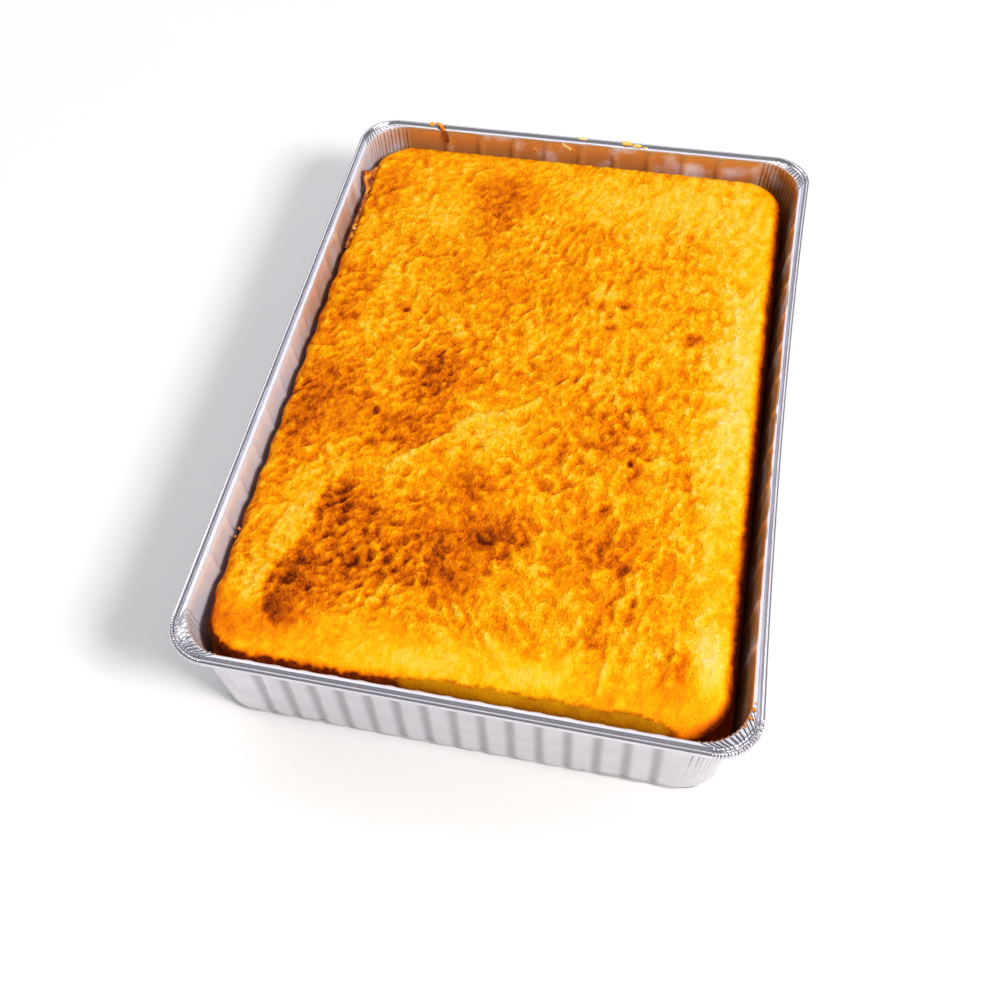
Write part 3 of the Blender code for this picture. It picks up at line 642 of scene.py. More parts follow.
def pan_tree():
    """Sweeps the section round the rim, then sets every point from the pan's own sizes."""
    tree, given = geometry_tree("pressed foil pan", {
        "Section": "Object", **dict.fromkeys(PAN_SIZES, "Float"), "Material": "Material"})
    path = add_node(tree, "GeometryNodeMeshToCurve", (given["Geometry"],))
    section = add_node(tree, "GeometryNodeObjectInfo", (given["Section"],), 4)
    section = add_node(tree, "GeometryNodeMeshToCurve", (section,))
    swept = add_node(tree, "GeometryNodeCurveToMesh", (path, section))
    known = {label: given[label] for label in PAN_SIZES}
    for label in ("corner",) + ROW_LABELS + COLUMN_LABELS:
        known[label] = add_node(tree, "GeometryNodeInputNamedAttribute", {"Name": label},
                                data_type="FLOAT_VECTOR" if label in ("fixed", "share", "out") else "FLOAT")

    def work_out(*steps):
        """A step: its name, its node, what that does, and what it takes, by name or as a value."""
        for name, kind, operation, *parts in steps:
            settings = {"operation": operation} if operation else {}
            known[name] = add_node(tree, kind, [known.get(part, part) for part in parts], **settings)
            if name in ("near", "side", "dark"):
                known[name].node.use_clamp = True

    # A corner's centre is at half the plan, less the row's inset and corner radius.
    work_out(
        ("halves", "CombineXYZ", None, "Half Width", "Half Length"),
        ("back", "Math", "ADD", "inset", "corner"),
        ("middle", "VectorMath", "SUBTRACT", "halves", "back"),
        ("centre", "VectorMath", "MULTIPLY_ADD", "share", "middle", "fixed"),
        ("ribbed", "Math", "MULTIPLY", "rib", "rib_share"),
        ("ribbed", "Math", "MULTIPLY", "ribbed", "Rib Height"),
        ("pleated", "Math", "MULTIPLY", "pleat", "pleat_out"),
        ("crimped", "Math", "MULTIPLY", "crimp", "crimp_out"),
        ("reach", "Math", "ADD", "corner", "pleated"),
        ("reach", "Math", "ADD", "reach", "crimped"),
        ("reach", "Math", "SUBTRACT", "reach", "ribbed"),
        ("spoke", "VectorMath", "MULTIPLY", "out", "reach"),
        ("flat", "VectorMath", "ADD", "centre", "spoke"),
        ("lift", "Math", "MULTIPLY", "pleat", "pleat_up"),
        ("rise", "Math", "MULTIPLY", "crimped", CRIMP_RISE),
        ("lift", "Math", "ADD", "lift", "rise"),
        ("height", "Math", "ADD", "height", "lift"),
    )
    known["x"] = add_node(tree, "SeparateXYZ", (known["flat"],))
    known["y"] = known["x"].node.outputs[1]
    # The right long side is pressed in at its middle, and dents are longer up the wall than along it.
    work_out(
        ("away", "Math", "DIVIDE", "y", "Bow Reach"),
        ("away", "Math", "MULTIPLY", "away", "away"),
        ("near", "Math", "SUBTRACT", 1.0, "away"),
        ("side", "Math", "DIVIDE", "x", "Half Width"),
        ("press", "Math", "MULTIPLY", "near", "side"),
        ("press", "Math", "MULTIPLY", "press", "bow_share"),
        ("press", "Math", "MULTIPLY", "press", "Bow"),
        ("x", "Math", "SUBTRACT", "x", "press"),
        ("point", "CombineXYZ", None, "x", "y", "height"),
        ("size", "Math", "DIVIDE", 1.0, "Dent Length"),
        ("field", "VectorMath", "MULTIPLY", "point", (1.0, 1.0, 0.35)),
        ("depth", "Math", "MULTIPLY", "Dent Depth", "dent_share"),
    )
    known["dents"] = add_node(tree, "TexNoise", {
        "Vector": known["field"], "W": given["Seed"], "Scale": known["size"], "Detail": 2.0,
    }, 1, noise_dimensions="4D")
    # The last steps add up how much painted shade each place gets in its ribs, pleats and crimps
    # and all over, for the foil's material to read.
    work_out(
        ("dents", "VectorMath", "SUBTRACT", "dents", (0.5, 0.5, 0.5)),
        ("dents", "VectorMath", "MULTIPLY", "dents", "depth"),
        ("point", "VectorMath", "ADD", "point", "dents"),
        ("dark", "Math", "MULTIPLY_ADD", "rib", "rib_dark", "all_dark"),
        ("dark", "Math", "MULTIPLY_ADD", "pleat_fold", "pleat_dark", "dark"),
        ("dark", "Math", "MULTIPLY_ADD", "crimp_fold", "crimp_dark", "dark"),
    )
    placed = add_node(tree, "GeometryNodeSetPosition", {0: swept, "Position": known["point"]})
    marked = add_node(tree, "GeometryNodeStoreNamedAttribute", {
        0: placed, "Name": "creased", "Value": known["dark"]}, data_type="FLOAT", domain="POINT")
    end_tree(tree, marked, given["Material"])
    return tree


def make_pan(settings):
    rows = section_rows()
    table = {label: [row[k] * (MM if label in ROW_LENGTHS else 1.0) for row in rows]
             for k, label in enumerate(ROW_LABELS)}
    table["corner"] = [row_corner(row[0], row[1]) * MM for row in rows]
    section = carrier_line("section", [(0.0, row[0] * MM, row[1] * MM) for row in rows], False, table)
    columns = [(column[0] * MM, *column[1:]) for column in rim_columns()]
    ring = []
    for k in range(len(columns)):
        turn = 2 * math.pi * k / len(columns)
        ring.append((RIM_WIDTH / 2 * MM * math.cos(turn), RIM_LENGTH / 2 * MM * math.sin(turn), 0.0))
    path = carrier_line("path", ring, True,
                        {label: [column[k] for column in columns] for k, label in enumerate(COLUMN_LABELS)})
    sizes = (settings.rim_width / 2, settings.rim_length / 2, settings.rib_height, RIM_BOW * MM,
             BOW_REACH * MM, settings.dent_depth, DENT_LENGTH * MM, DENT_SEED)
    pan = bake_nodes("foil_pan_pressed", path, pan_tree(), {
        "Section": section, "Material": pressed_foil(settings), **dict(zip(PAN_SIZES, sizes))})
    bpy.data.objects.remove(section, do_unlink=True)
    close_mesh(pan.data, cap=True)
    pan.data.shade_smooth()
    pan.data.set_sharp_from_angle(angle=math.radians(60))
    finish_piece(pan, "foil_pan")


# The bread.
def rim_bow(x, y, share):
    if x <= 0.0:
        return 0.0
    return RIM_BOW * share * max(0.0, 1.0 - (y / BOW_REACH) ** 2) * x / (RIM_WIDTH / 2)


def bread_sides(z):
    """The bread's left, right, front and back at a height, clear of the foil's ribs."""
    if z < FOOT_ROUND:
        share = math.acos(min(max(1.0 - (z - FOIL - GAP) / FOOT_ROUND, 0.0), 1.0))
        inset = WALL_FOOT_INSET + FOOT_ROUND * (1.0 - math.sin(share))
    else:
        inset = wall_inset(z)
    inset += RIB_HEIGHT + RIB_CLEARANCE
    pulled = smooth((z - SHRINK_FROM) / (EDGE_HEIGHT - SHRINK_FROM))
    half_x, half_y = RIM_WIDTH / 2 - inset, RIM_LENGTH / 2 - inset
    return (-half_x + SHRUNK_LEFT * pulled, half_x - SHRUNK_RIGHT * pulled,
            -half_y + SHRUNK_FRONT * pulled, half_y - SHRUNK_BACK * pulled)


def bread_point(u, v, z):
    """A place in the bread's rounded plan at a height, for u and v in the top's plan."""
    left, right, front, back = bread_sides(z)
    top_left, top_right, top_front, top_back = bread_sides(EDGE_HEIGHT)
    x = left + (right - left) * (u - top_left) / (top_right - top_left)
    y = front + (back - front) * (v - top_front) / (top_back - top_front)
    centre_x = min(max(x, left + BREAD_CORNER), right - BREAD_CORNER)
    centre_y = min(max(y, front + BREAD_CORNER), back - BREAD_CORNER)
    s, t = (x - centre_x) / BREAD_CORNER, (y - centre_y) / BREAD_CORNER
    x = centre_x + BREAD_CORNER * s * math.sqrt(1.0 - t * t / 2)
    y = centre_y + BREAD_CORNER * t * math.sqrt(1.0 - s * s / 2)
    return x - rim_bow(x, y, WALL_BOW_SHARE * z / PAN_TOP), y


def edge_distance(x, y):
    """How far inside the bread's outline at its edge a place lies."""
    left, right, front, back = bread_sides(EDGE_HEIGHT)
    right -= rim_bow(right, y, WALL_BOW_SHARE * EDGE_HEIGHT / PAN_TOP)
    across = max(left + BREAD_CORNER - x, x - right + BREAD_CORNER)
    along = max(front + BREAD_CORNER - y, y - back + BREAD_CORNER)
    outside = math.hypot(max(across, 0.0), max(along, 0.0))
    return BREAD_CORNER - outside - min(max(across, along), 0.0)


def mound(x, y, form):
    centre_x, centre_y, half_width, half_length, height = form
    away = math.hypot((x - centre_x) / half_width, (y - centre_y) / half_length)
    return height * smooth(1.0 - away) if away < 1.0 else 0.0


def off_line(x, y, start, end):
    """Distance from a stretch of line, and on which side: positive to the left of its way."""
    run_x, run_y = end[0] - start[0], end[1] - start[1]
    share = min(max(((x - start[0]) * run_x + (y - start[1]) * run_y) / (run_x**2 + run_y**2), 0.0), 1.0)
    away = math.hypot(x - start[0] - run_x * share, y - start[1] - run_y * share)
    return away, math.copysign(1.0, run_x * (y - start[1]) - run_y * (x - start[0]))


def sunken_side(x, y):
    """Signed distance from the sunken patch's rim: positive inside the patch."""
    return max((off_line(x, y, a, b) for a, b in zip(SUNKEN_RIM, SUNKEN_RIM[1:])), key=lambda d: -d[0])


def patch_share(y):
    """The sunken patch's rim fades out at both its ends."""
    return smooth((y + 150.0) / 14.0) * smooth((-53.0 - y) / 14.0)


def large_relief(x, y):
    relief = sum(mound(x, y, form) for form in FORMS + PITS)
    place = Vector((x / WRINKLE_LENGTH, y / WRINKLE_LENGTH, 0.0))
    return relief + WRINKLE_HEIGHT * noise.fractal(place, 1.0, 2.0, 2)


def flakiness(x, y):
    """How flaky the skin is: less along the front, the right shoulder and the back."""
    share = 0.3 + 0.7 * smooth((y + 150.0) / 26.0)
    share *= (1.0 - 0.45 * smooth((x - 80.0) / 22.0)) * (1.0 - 0.22 * smooth((y - 104.0) / 30.0))
    return share * (1.0 + sum(mound(x, y, form) for form in FLAKIER))


def fold_relief(x, y):
    """Flakes of the dried skin, and how much of a flake's lip a place is.

    The skin lies in terraces with steep edges, over soft lumps: long and upright on the right,
    short and slanted on the left.
    """
    warp = noise.noise_vector(Vector((x / 9.0, y / 9.0, 7.0)))
    upright = smooth((x + 30.0) / 80.0)
    calm = flakiness(x, y) * (0.85 + 0.5 * wobble(x / 17.0, y / 21.0, 11.0))
    slanted_x = x - (0.35 - 0.23 * upright) * y
    place = Vector((slanted_x / 3.7 + 0.8 * warp.x, y / (4.0 + 2.6 * upright) + 0.8 * warp.y, 2.0))
    level = noise.noise(place) / FLAKE_SPACING
    base = math.floor(level)
    edge = level - base - 0.5
    terrace = base + smooth(0.5 + edge / FLAKE_SHARPNESS)
    lip = max(0.0, 1.0 - ((edge - 0.28) / 0.2) ** 2)
    relief = FLAKE_HEIGHT * (terrace + 0.45 * lip)
    relief = relief + 0.30 * noise.noise(place * 2.1) + 0.4 * noise.noise(place * 0.45)
    return relief * calm, lip * calm


def marked_relief(x, y):
    """The marks that show one by one: ridges, small pits, and the sunken patch's rim."""
    relief = sum(mound(x, y, form) for form in SMALL_PITS)
    for start, end, half_width, height in RIDGES:
        away, _side = off_line(x, y, start, end)
        if away < half_width:
            relief += height * smooth(1.0 - away / half_width)
    away, side = sunken_side(x, y)
    if away < SUNKEN_REACH:
        edge = smooth(0.5 + 0.5 * side * away / SUNKEN_EDGE)
        relief += SUNKEN_STEP * (0.5 - edge) * smooth(1.0 - away / SUNKEN_REACH) * patch_share(y)
    return relief


def collar_share(x, y):
    """1 on the smooth collar along the front, 0 on the crust; its lip is ragged."""
    ends = smooth((x - COLLAR_FROM) / 40.0) * smooth((COLLAR_TO - x) / 18.0)
    if y > -120.0 or ends == 0.0:
        return 0.0
    ragged = 1.5 * wobble(x / 3.1, 0.0, 51.0) + 1.2 * wobble(x / 9.0, 0.0, 52.0)
    away = edge_distance(x, y) - COLLAR_WIDTH * (0.25 + 0.75 * ends) - ragged
    return smooth(0.5 - away / 1.1) * smooth(ends * 2.0)


def crust_height(x, y):
    """The crust's height at a place: a low crown, a rounded shoulder, and its relief."""
    inside = max(edge_distance(x, y), 0.0)
    shoulder = SHOULDER + (RIGHT_SHOULDER - SHOULDER) * smooth(2.0 * x / RIM_WIDTH)
    crown = CROWN * (1.0 - (2 * x / RIM_WIDTH) ** 2) * (1.0 - (2 * y / RIM_LENGTH) ** 2)
    level = CRUST_HEIGHT - EDGE_HEIGHT
    if inside < shoulder:
        level *= math.sqrt(1.0 - (1.0 - inside / shoulder) ** 2)
    share = smooth(inside / shoulder)
    collar = collar_share(x, y)
    fine = (0.25 + 0.75 * share) * (1.0 - 0.85 * collar)
    relief = (large_relief(x, y) + marked_relief(x, y)) * share + fold_relief(x, y)[0] * fine
    return EDGE_HEIGHT + level + crown + relief - COLLAR_DROP * collar * share


def crust_browning_and_painted_light(x, y):
    """How browned the crust is at a place, 0 to 1: patches, clouds and dark edges, with painted light
    in it: paler crests, ridges and right shoulder as painted highlight, and painted shade in pits and
    along the right edge.
    """
    raised, lip = fold_relief(x, y)
    tone = BASE_TONE + sum(mound(x, y, form) for form in BROWNING_AND_PAINTED_LIGHT)
    away, side = sunken_side(x, y)
    if side > 0 and away < SUNKEN_REACH:
        tone += RIM_DARKER * smooth(1.0 - away / SUNKEN_REACH) * patch_share(y)
    even = 1.0 - 0.5 * smooth((x - 78.0) / 18.0)
    tone += 0.10 * even * noise.fractal(Vector((x / 24.0, y / 24.0, 20.0)), 1.0, 2.0, 2)
    tone += 0.09 * even * noise.fractal(Vector((x / 7.0, y / 8.5, 23.0)), 0.8, 2.0, 3)
    # Painted highlight: the flakes' crests and lips are painted paler.
    tone -= CREST_PAINTED_HIGHLIGHT * raised + 0.04 * lip
    inside = edge_distance(x, y)
    # Darker edges: browned crust, and towards the right also painted shade of the right wall and the gap.
    right = smooth((x - 90.0) / 12.0)
    tone += (0.18 + 0.44 * right) * smooth(1.0 - inside / (5.5 - 0.5 * right))
    # Darker in a ragged band along the front-left edge, next to the rim.
    front_left_dark = smooth((-18.0 - x) / 14.0) * smooth((-130.0 - y) / 12.0)
    ragged = wobble(x / 2.4, y / 2.4, 61.0)
    tone += 0.95 * front_left_dark * smooth((3.0 + 1.5 * ragged - inside) / 3.2)
    # Painted light: ridges are painted paler, and pits and the sunken patch's low side browner as painted
    # shade.
    tone -= MARK_PAINTED_LIGHT * marked_relief(x, y)
    collar = collar_share(x, y)
    tone += 1.1 * collar * (1.0 - collar)
    palest = 0.22 - 0.14 * smooth((x - 78.0) / 18.0)
    return min(max(tone, palest), 1.0)


def ripple(x, y):
    """The left wall's ribs have left their print along the bread's upper edge."""
    near = smooth(1.0 - (x - bread_sides(EDGE_HEIGHT)[0]) / RIPPLE_DEPTH)
    return RIPPLE * near * math.cos(2 * math.pi * y / RIPPLE_PITCH)


def crust_places(low, high):
    """Places across the top: close together at both edges, and even between."""
    start, end = low + EDGE_STEPS[-1], high - EDGE_STEPS[-1]
    steps = round((end - start) / CRUST_STEP)
    middle = [start + (end - start) * k / steps for k in range(1, steps)]
    return [low + d for d in EDGE_STEPS] + middle + [high - d for d in reversed(EDGE_STEPS)]

def grid_faces(rows, columns):
    """Faces between rows of points, each row with as many points as there are columns."""
    starts = [i * columns + j for i in range(rows - 1) for j in range(columns - 1)]
    return [(a, a + columns, a + columns + 1, a + 1) for a in starts]



def make_bread(settings):
    left, right, front, back = bread_sides(EDGE_HEIGHT)
    across, along = crust_places(left, right), crust_places(front, back)
    points, browning, collar, flaky = [], [], [], []
    for u in across:
        for v in along:
            x, y = bread_point(u, v, EDGE_HEIGHT)
            z = crust_height(x, y)
            points.append((x + ripple(x, y) + RIPPLE * 0.5, y, z))
            # The browning attribute also carries the crust's painted highlight and shade.
            browning.append(crust_browning_and_painted_light(x, y))
            collar.append(collar_share(x, y))
            flaky.append(flakiness(x, y))
    rows, columns = len(across), len(along)
    faces = grid_faces(rows, columns)
    border = [(i, 0) for i in range(rows - 1)] + [(rows - 1, j) for j in range(columns - 1)]
    border += [(i, columns - 1) for i in range(rows - 1, 0, -1)] + [(0, j) for j in range(columns - 1, 0, -1)]
    above = [i * columns + j for i, j in border]
    for z in SIDE_ROWS:
        below = []
        for i, j in border:
            x, y = bread_point(across[i], along[j], z)
            rough = 0.12 * wobble(x / 4.0, y / 4.0, z / 3.0)
            below.append(len(points))
            points.append((x * (1 - 0.001 * abs(rough)), y * (1 - 0.001 * abs(rough)), z))
            browning.append(1.0 + 0.2 * rough - 0.25 * smooth((EDGE_HEIGHT - z) / 16.0))
            collar.append(0.0)
            flaky.append(0.6)
        for k in range(len(border)):
            n = (k + 1) % len(border)
            faces.append((above[k], below[k], below[n], above[n]))
        above = below
    faces.append(tuple(above))
    bread = new_object("cornbread_baked", mesh_from(points, faces, {
        "browning": browning, "collar": collar, "flaky": flaky}))
    close_mesh(bread.data)
    finish_piece(bread, "cornbread", baked_crust(settings))


# The torn shred of crust lies on the shoulder, and its flap leans on the left wall.
def shred_ends(y):
    """The shred's outer edge and inner edge at one place along it."""
    flap = smooth(1.0 - abs(y - FLAP_Y) / FLAP_REACH)
    jag = wobble(y / SHRED_JAG_LENGTH, 5.0, 0.0)
    wave = wobble(y / SHRED_WAVE_LENGTH, 9.0, 0.0)
    tatter = wobble(y / 0.9, 2.0, 0.0)
    width = max(SHRED_WIDTH + FLAP_WIDTH * flap + SHRED_JAG * jag + 0.7 * tatter, 0.9)
    flap_z = CRUST_HEIGHT + FLAP_CLIMB + SHRED_WAVE * wave
    flap_x = -RIM_WIDTH / 2 + wall_inset(flap_z) + RIB_HEIGHT + GAP
    outer_x = SHRED_X + (flap_x - SHRED_X) * flap
    inner_x = outer_x + width
    rest = crust_height(outer_x + width / 4, y) + GAP + 2 * SHRED_LIFT
    outer_z = rest + (flap_z - rest) * flap
    inner_z = crust_height(inner_x, y) + GAP + 2 * SHRED_LIFT
    return (outer_x, outer_z), (inner_x, inner_z)


def closed_strip(rows):
    """Points and faces of a closed strip: rows of upper points, each with its lower points."""
    points, faces = [], []
    count = len(rows[0][0])
    for upper, lower in rows:
        points += list(upper) + list(reversed(lower))
    ring = 2 * count
    for k in range(len(rows) - 1):
        for n in range(ring):
            m = (n + 1) % ring
            faces.append((k * ring + n, k * ring + m, (k + 1) * ring + m, (k + 1) * ring + n))
    faces.append(tuple(range(ring)))
    faces.append(tuple(range((len(rows) - 1) * ring, len(rows) * ring)))
    return points, faces


def end_strip(name, rows, browning, node):
    strip = new_object(name, mesh_from(*closed_strip(rows), {"browning": browning}))
    close_mesh(strip.data)
    finish_piece(strip, node, dried_batter())


def make_shred():
    rows, browning = [], []
    steps = round((SHRED_FROM - SHRED_TO) / SHRED_STEP)
    for k in range(steps + 1):
        y = SHRED_FROM + (SHRED_TO - SHRED_FROM) * k / steps
        (outer_x, outer_z), (inner_x, inner_z) = shred_ends(y)
        taper = smooth(min(k, steps - k) / 6.0)
        upper, lower = [], []
        for n in range(SHRED_ACROSS):
            share = n / (SHRED_ACROSS - 1)
            x = outer_x + (inner_x - outer_x) * share
            sag = 4 * share * (1 - share)
            level = max(outer_z + (inner_z - outer_z) * share - 0.8 * sag, crust_height(x, y) + GAP)
            bump = 0.35 * noise.fractal(Vector((x / 1.6, y / 2.0, 30.0)), 1.0, 2.0, 2)
            thick = SHRED_THICK * (0.25 + 0.75 * math.sqrt(sag)) * (0.35 + 0.65 * taper)
            upper.append((x, y, level + thick + bump * sag))
            lower.append((x, y, level))
            browning.append(0.52 + 0.5 * wobble(x / 2.5, y / 4.0, 31.0) + 0.25 * (1 - sag))
        browning += browning[-SHRED_ACROSS:][::-1]
        rows.append((upper, lower))
    end_strip("crust_shred_torn", rows, browning, "crust_shred")


# The drip that ran over the back rim and dried.
def drip_way():
    """Inset, height and share of the width along the drip."""
    foot = CRUST_HEIGHT + DRIP_END
    return (
        (BEAD_WIDTH * 0.2, PAN_TOP - 0.1, 0.7),
        (BEAD_WIDTH * 0.62, PAN_TOP + GAP, 1.25),
        (BEAD_WIDTH + GROOVE_WIDTH, LEDGE_Z + 2 * GAP, 1.35),
        (WALL_TOP_INSET - 0.3, LEDGE_Z + GAP, 1.0),
        (WALL_TOP_INSET + RIB_HEIGHT + GAP, LEDGE_Z - 0.6, 0.75),
        (wall_inset(foot) + RIB_HEIGHT + GAP, foot, 0.95),
    )


def make_drip():
    way = drip_way()
    rows, browning = [], []
    for leg, (start, end) in enumerate(zip(way, way[1:])):
        for k in range(DRIP_STEPS + (leg == len(way) - 2)):
            t = k / DRIP_STEPS
            inset, z, spread = (a + (b - a) * t for a, b in zip(start, end))
            middle = DRIP_X + DRIP_SLANT * (leg + t) + 0.35 * wobble(0.0, (leg + t) * 1.7, 3.0)
            run = Vector((end[0] - start[0], end[1] - start[1])).normalized()
            up_inset, up_z = (run.y, -run.x) if leg > 3 else (0.0, 1.0)
            along = (leg + t) / (len(way) - 1)
            end_fade = math.sqrt(max(0.0, 1 - (2 * along - 1) ** 8))
            half = DRIP_WIDTH / 2 * spread * (0.5 + 0.5 * end_fade)
            upper, lower = [], []
            for n in range(DRIP_ACROSS):
                share = 2 * n / (DRIP_ACROSS - 1) - 1
                swell = DRIP_THICK * math.sqrt(max(0.0, 1 - share * share)) * (0.3 + 0.7 * end_fade) + 0.04
                x = middle + half * share
                upper.append((x, RIM_LENGTH / 2 - inset - abs(up_inset) * swell, z + up_z * swell))
                lower.append((x, RIM_LENGTH / 2 - inset, z))
                browning.append(0.34 + 0.42 * along**2 + 0.22 * abs(share) + 0.2 * wobble(x, z, 40.0))
            browning += browning[-DRIP_ACROSS:][::-1]
            rows.append((upper, lower))
    end_strip("batter_drip_dried", rows, browning, "batter_drip")


# Dabs, smears and loose crumbs.
def lump(builder, layer, centre, radii, tone, salt, up=Vector((0, 0, 1))):
    """One uneven rounded lump of batter or crumb, its radii along X, Y and up."""
    made = bmesh.ops.create_icosphere(builder, subdivisions=3, radius=1.0)
    side = Vector((1, 0, 0))
    fore = up.cross(side)
    for vert in made["verts"]:
        shape = vert.co.copy()
        grow = 1 + 0.28 * noise.fractal(shape * 1.6 + Vector((salt, 0, 0)), 1.0, 2.0, 2)
        local = Vector((shape.x * radii[0], shape.y * radii[1], shape.z * radii[2])) * grow
        vert.co = (Vector(centre) + side * local.x + fore * local.y + up * local.z) * MM
        vert[layer] = tone + 0.15 * noise.noise(shape * 2.0 + Vector((salt, 3, 0)))


def new_lumps():
    builder = bmesh.new()
    return builder, builder.verts.layers.float.new("browning")


def end_lumps(builder, name):
    for face in builder.faces:
        face.smooth = True
    mesh = bpy.data.meshes.new(name)
    builder.to_mesh(mesh)
    builder.free()
    finish_piece(new_object(name, mesh), None, dried_batter())


def make_dabs():
    builder, layer = new_lumps()
    for number, (x, y, z, half_width, half_length, thick, tone) in enumerate(DABS):
        lump(builder, layer, (x, y, z), (half_width, half_length, thick), tone, number * 7.0)
    for number, (x0, z0, x1, z1, half, tone) in enumerate(SMEARS):
        for k in range(5):
            t = k / 4
            x, z = x0 + (x1 - x0) * t, z0 + (z1 - z0) * t
            y = RIM_LENGTH / 2 - wall_inset(z)
            lump(builder, layer, (x, y, z), (half * 0.9, half * 1.2, 0.22), tone, number * 9.0 + k,
                 Vector((0, -1, 0)))
    end_lumps(builder, "batter_dabs")


def make_crumbs():
    builder, layer = new_lumps()
    for number, (x, y, z, size, tone) in enumerate(CRUMBS):
        lump(builder, layer, (x, y, z), (size * 0.6, size * 0.5, size * 0.45), tone, number * 5.0)
    end_lumps(builder, "caught_crumbs")


def fleck_tree():
    """Scatters specks of meal over a crust patch, each turned and sized by a fixed seed."""
    tree, given = geometry_tree("meal specks", {
        "Density": "Float", "Smallest": "Float", "Largest": "Float", "Seed": "Int", "Material": "Material"})
    geometry, density, smallest, largest, seed, material = list(given)[:6]
    spread = add_node(tree, "GeometryNodeDistributePointsOnFaces",
                      {0: geometry, "Density": density, "Seed": seed})
    grit = add_node(tree, "GeometryNodeMeshIcoSphere", {"Radius": 1.0, "Subdivisions": 2})
    turn = add_node(tree, "FunctionNodeRandomValue", {0: (0, 0, 0), 1: (6.28, 6.28, 6.28), "Seed": seed},
                    data_type="FLOAT_VECTOR")
    size = add_node(tree, "FunctionNodeRandomValue", {2: smallest, 3: largest, "Seed": seed}, 1,
                    data_type="FLOAT")
    flat = add_node(tree, "VectorMath", ((1.0, 0.8, 0.55), size), operation="MULTIPLY")
    placed = add_node(tree, "GeometryNodeInstanceOnPoints", {0: spread, "Instance": grit, "Rotation": turn,
                                                             "Scale": flat})
    end_tree(tree, placed, material)
    return tree


def make_specks(settings):
    left, right, front, back = bread_sides(EDGE_HEIGHT)
    columns, rows = (round((span - 2 * SPECK_INSET) / SPECK_STEP) + 1
                     for span in (right - left, back - front))
    points = []
    for i in range(columns):
        for j in range(rows):
            x, y = left + SPECK_INSET + SPECK_STEP * i, front + SPECK_INSET + SPECK_STEP * j
            points.append((x, y, crust_height(x, y) - 0.02))
    patch = new_object("speck patch", mesh_from(points, grid_faces(columns, rows)))
    specks = bake_nodes("meal_specks", patch, fleck_tree(), {
        "Density": settings.speck_density, "Smallest": SPECK_SMALLEST * MM, "Largest": SPECK_LARGEST * MM,
        "Seed": SPECK_SEED, "Material": toasted_meal()})
    specks.data.shade_smooth()
    finish_piece(specks, None)


# The stage: floor, light and camera.
def place_camera():
    turn, rise, roll = (math.radians(a) for a in (CAMERA_TURN, CAMERA_RISE, CAMERA_ROLL))
    back = Vector((math.sin(turn) * math.cos(rise), -math.cos(turn) * math.cos(rise), math.sin(rise)))
    right = Vector((math.cos(turn), math.sin(turn), 0.0))
    up = back.cross(right)
    right, up = right * math.cos(roll) + up * math.sin(roll), up * math.cos(roll) - right * math.sin(roll)
    camera = new_object("camera", bpy.data.cameras.new("camera"))
    camera.data.lens = CAMERA_LENS
    camera.data.sensor_width = CAMERA_SENSOR
    camera.data.shift_x, camera.data.shift_y = CAMERA_SHIFT
    camera.data.clip_start = 0.01
    turned = Matrix((right, up, back)).transposed().to_4x4()
    turned.translation = (Vector(CAMERA_TARGET) + back * CAMERA_DISTANCE) * MM
    camera.matrix_world = turned
    bpy.context.scene.camera = camera


def place_light(name, place, size, watts, colour):
    lamp = bpy.data.lights.new(name, "AREA")
    lamp.shape = "RECTANGLE"
    lamp.size, lamp.size_y = size
    lamp.energy = watts
    lamp.color = linear(colour)
    light = new_object(name, lamp)
    light.location = place
    light.rotation_euler = (Vector(place) - Vector(LIT_PLACE)).to_track_quat("Z", "Y").to_euler()
    light.visible_camera = False


def make_stage(settings):
    corners = [(x * FLOOR_HALF, y * FLOOR_HALF, -FLOOR_GAP) for x, y in ((-1, -1), (1, -1), (1, 1), (-1, 1))]
    floor = new_object("floor", mesh_from(corners, [(0, 1, 2, 3)]))
    floor.data.materials.append(painted_board(settings))
    world = bpy.data.worlds.new("studio")
    bpy.context.scene.world = world
    world.use_nodes = True
    height = add_node(world.node_tree, "SeparateXYZ", (add_node(world.node_tree, "TexCoord"),), 2)
    sky = set_ramp(add_node(world.node_tree, "ValToRGB", (height,)),
                   ((0.0, "#8A8A92"), (0.2, "#A8A8B0"), (0.55, "#E6E6EC"), (1.0, "#FFFFFF")))
    set_inputs(world.node_tree.nodes["Background"], {"Color": sky, "Strength": settings.sky_strength})
    place_light("key", (0.95, -0.50, 1.05), (0.42, 0.42), settings.key_watts, "#FFFAF4")
    place_light("back", (-0.30, 0.94, 1.26), (1.8, 1.4), settings.back_watts, "#F8F8FF")
    place_light("fill", (-1.15, 0.25, 1.0), (0.9, 0.9), settings.fill_watts, "#FFFDF8")
    place_camera()
    bpy.context.scene.view_settings.view_transform = "Standard"
    bpy.context.scene.view_settings.look = "None"


LENGTH = {"unit": "LENGTH", "subtype": "DISTANCE"}


class CornbreadPanSettings(bpy.types.PropertyGroup):
    rim_width: FloatProperty(name="Rim Width", description="Across the outer rim", default=RIM_WIDTH * MM,
                             **LENGTH)
    rim_length: FloatProperty(name="Rim Length", description="Along the outer rim", default=RIM_LENGTH * MM,
                              **LENGTH)
    rib_height: FloatProperty(name="Rib Height", description="How far a rib stands inwards",
                              default=RIB_HEIGHT * MM, **LENGTH)
    dent_depth: FloatProperty(name="Dent Depth", description="Depth of the foil's shallow dents",
                              default=0.7 * MM, **LENGTH)
    foil: FloatVectorProperty(name="Foil Colour", description="Colour of the bright foil",
                              default=linear("#D2D0D8"), subtype="COLOR", min=0.0, max=1.0)


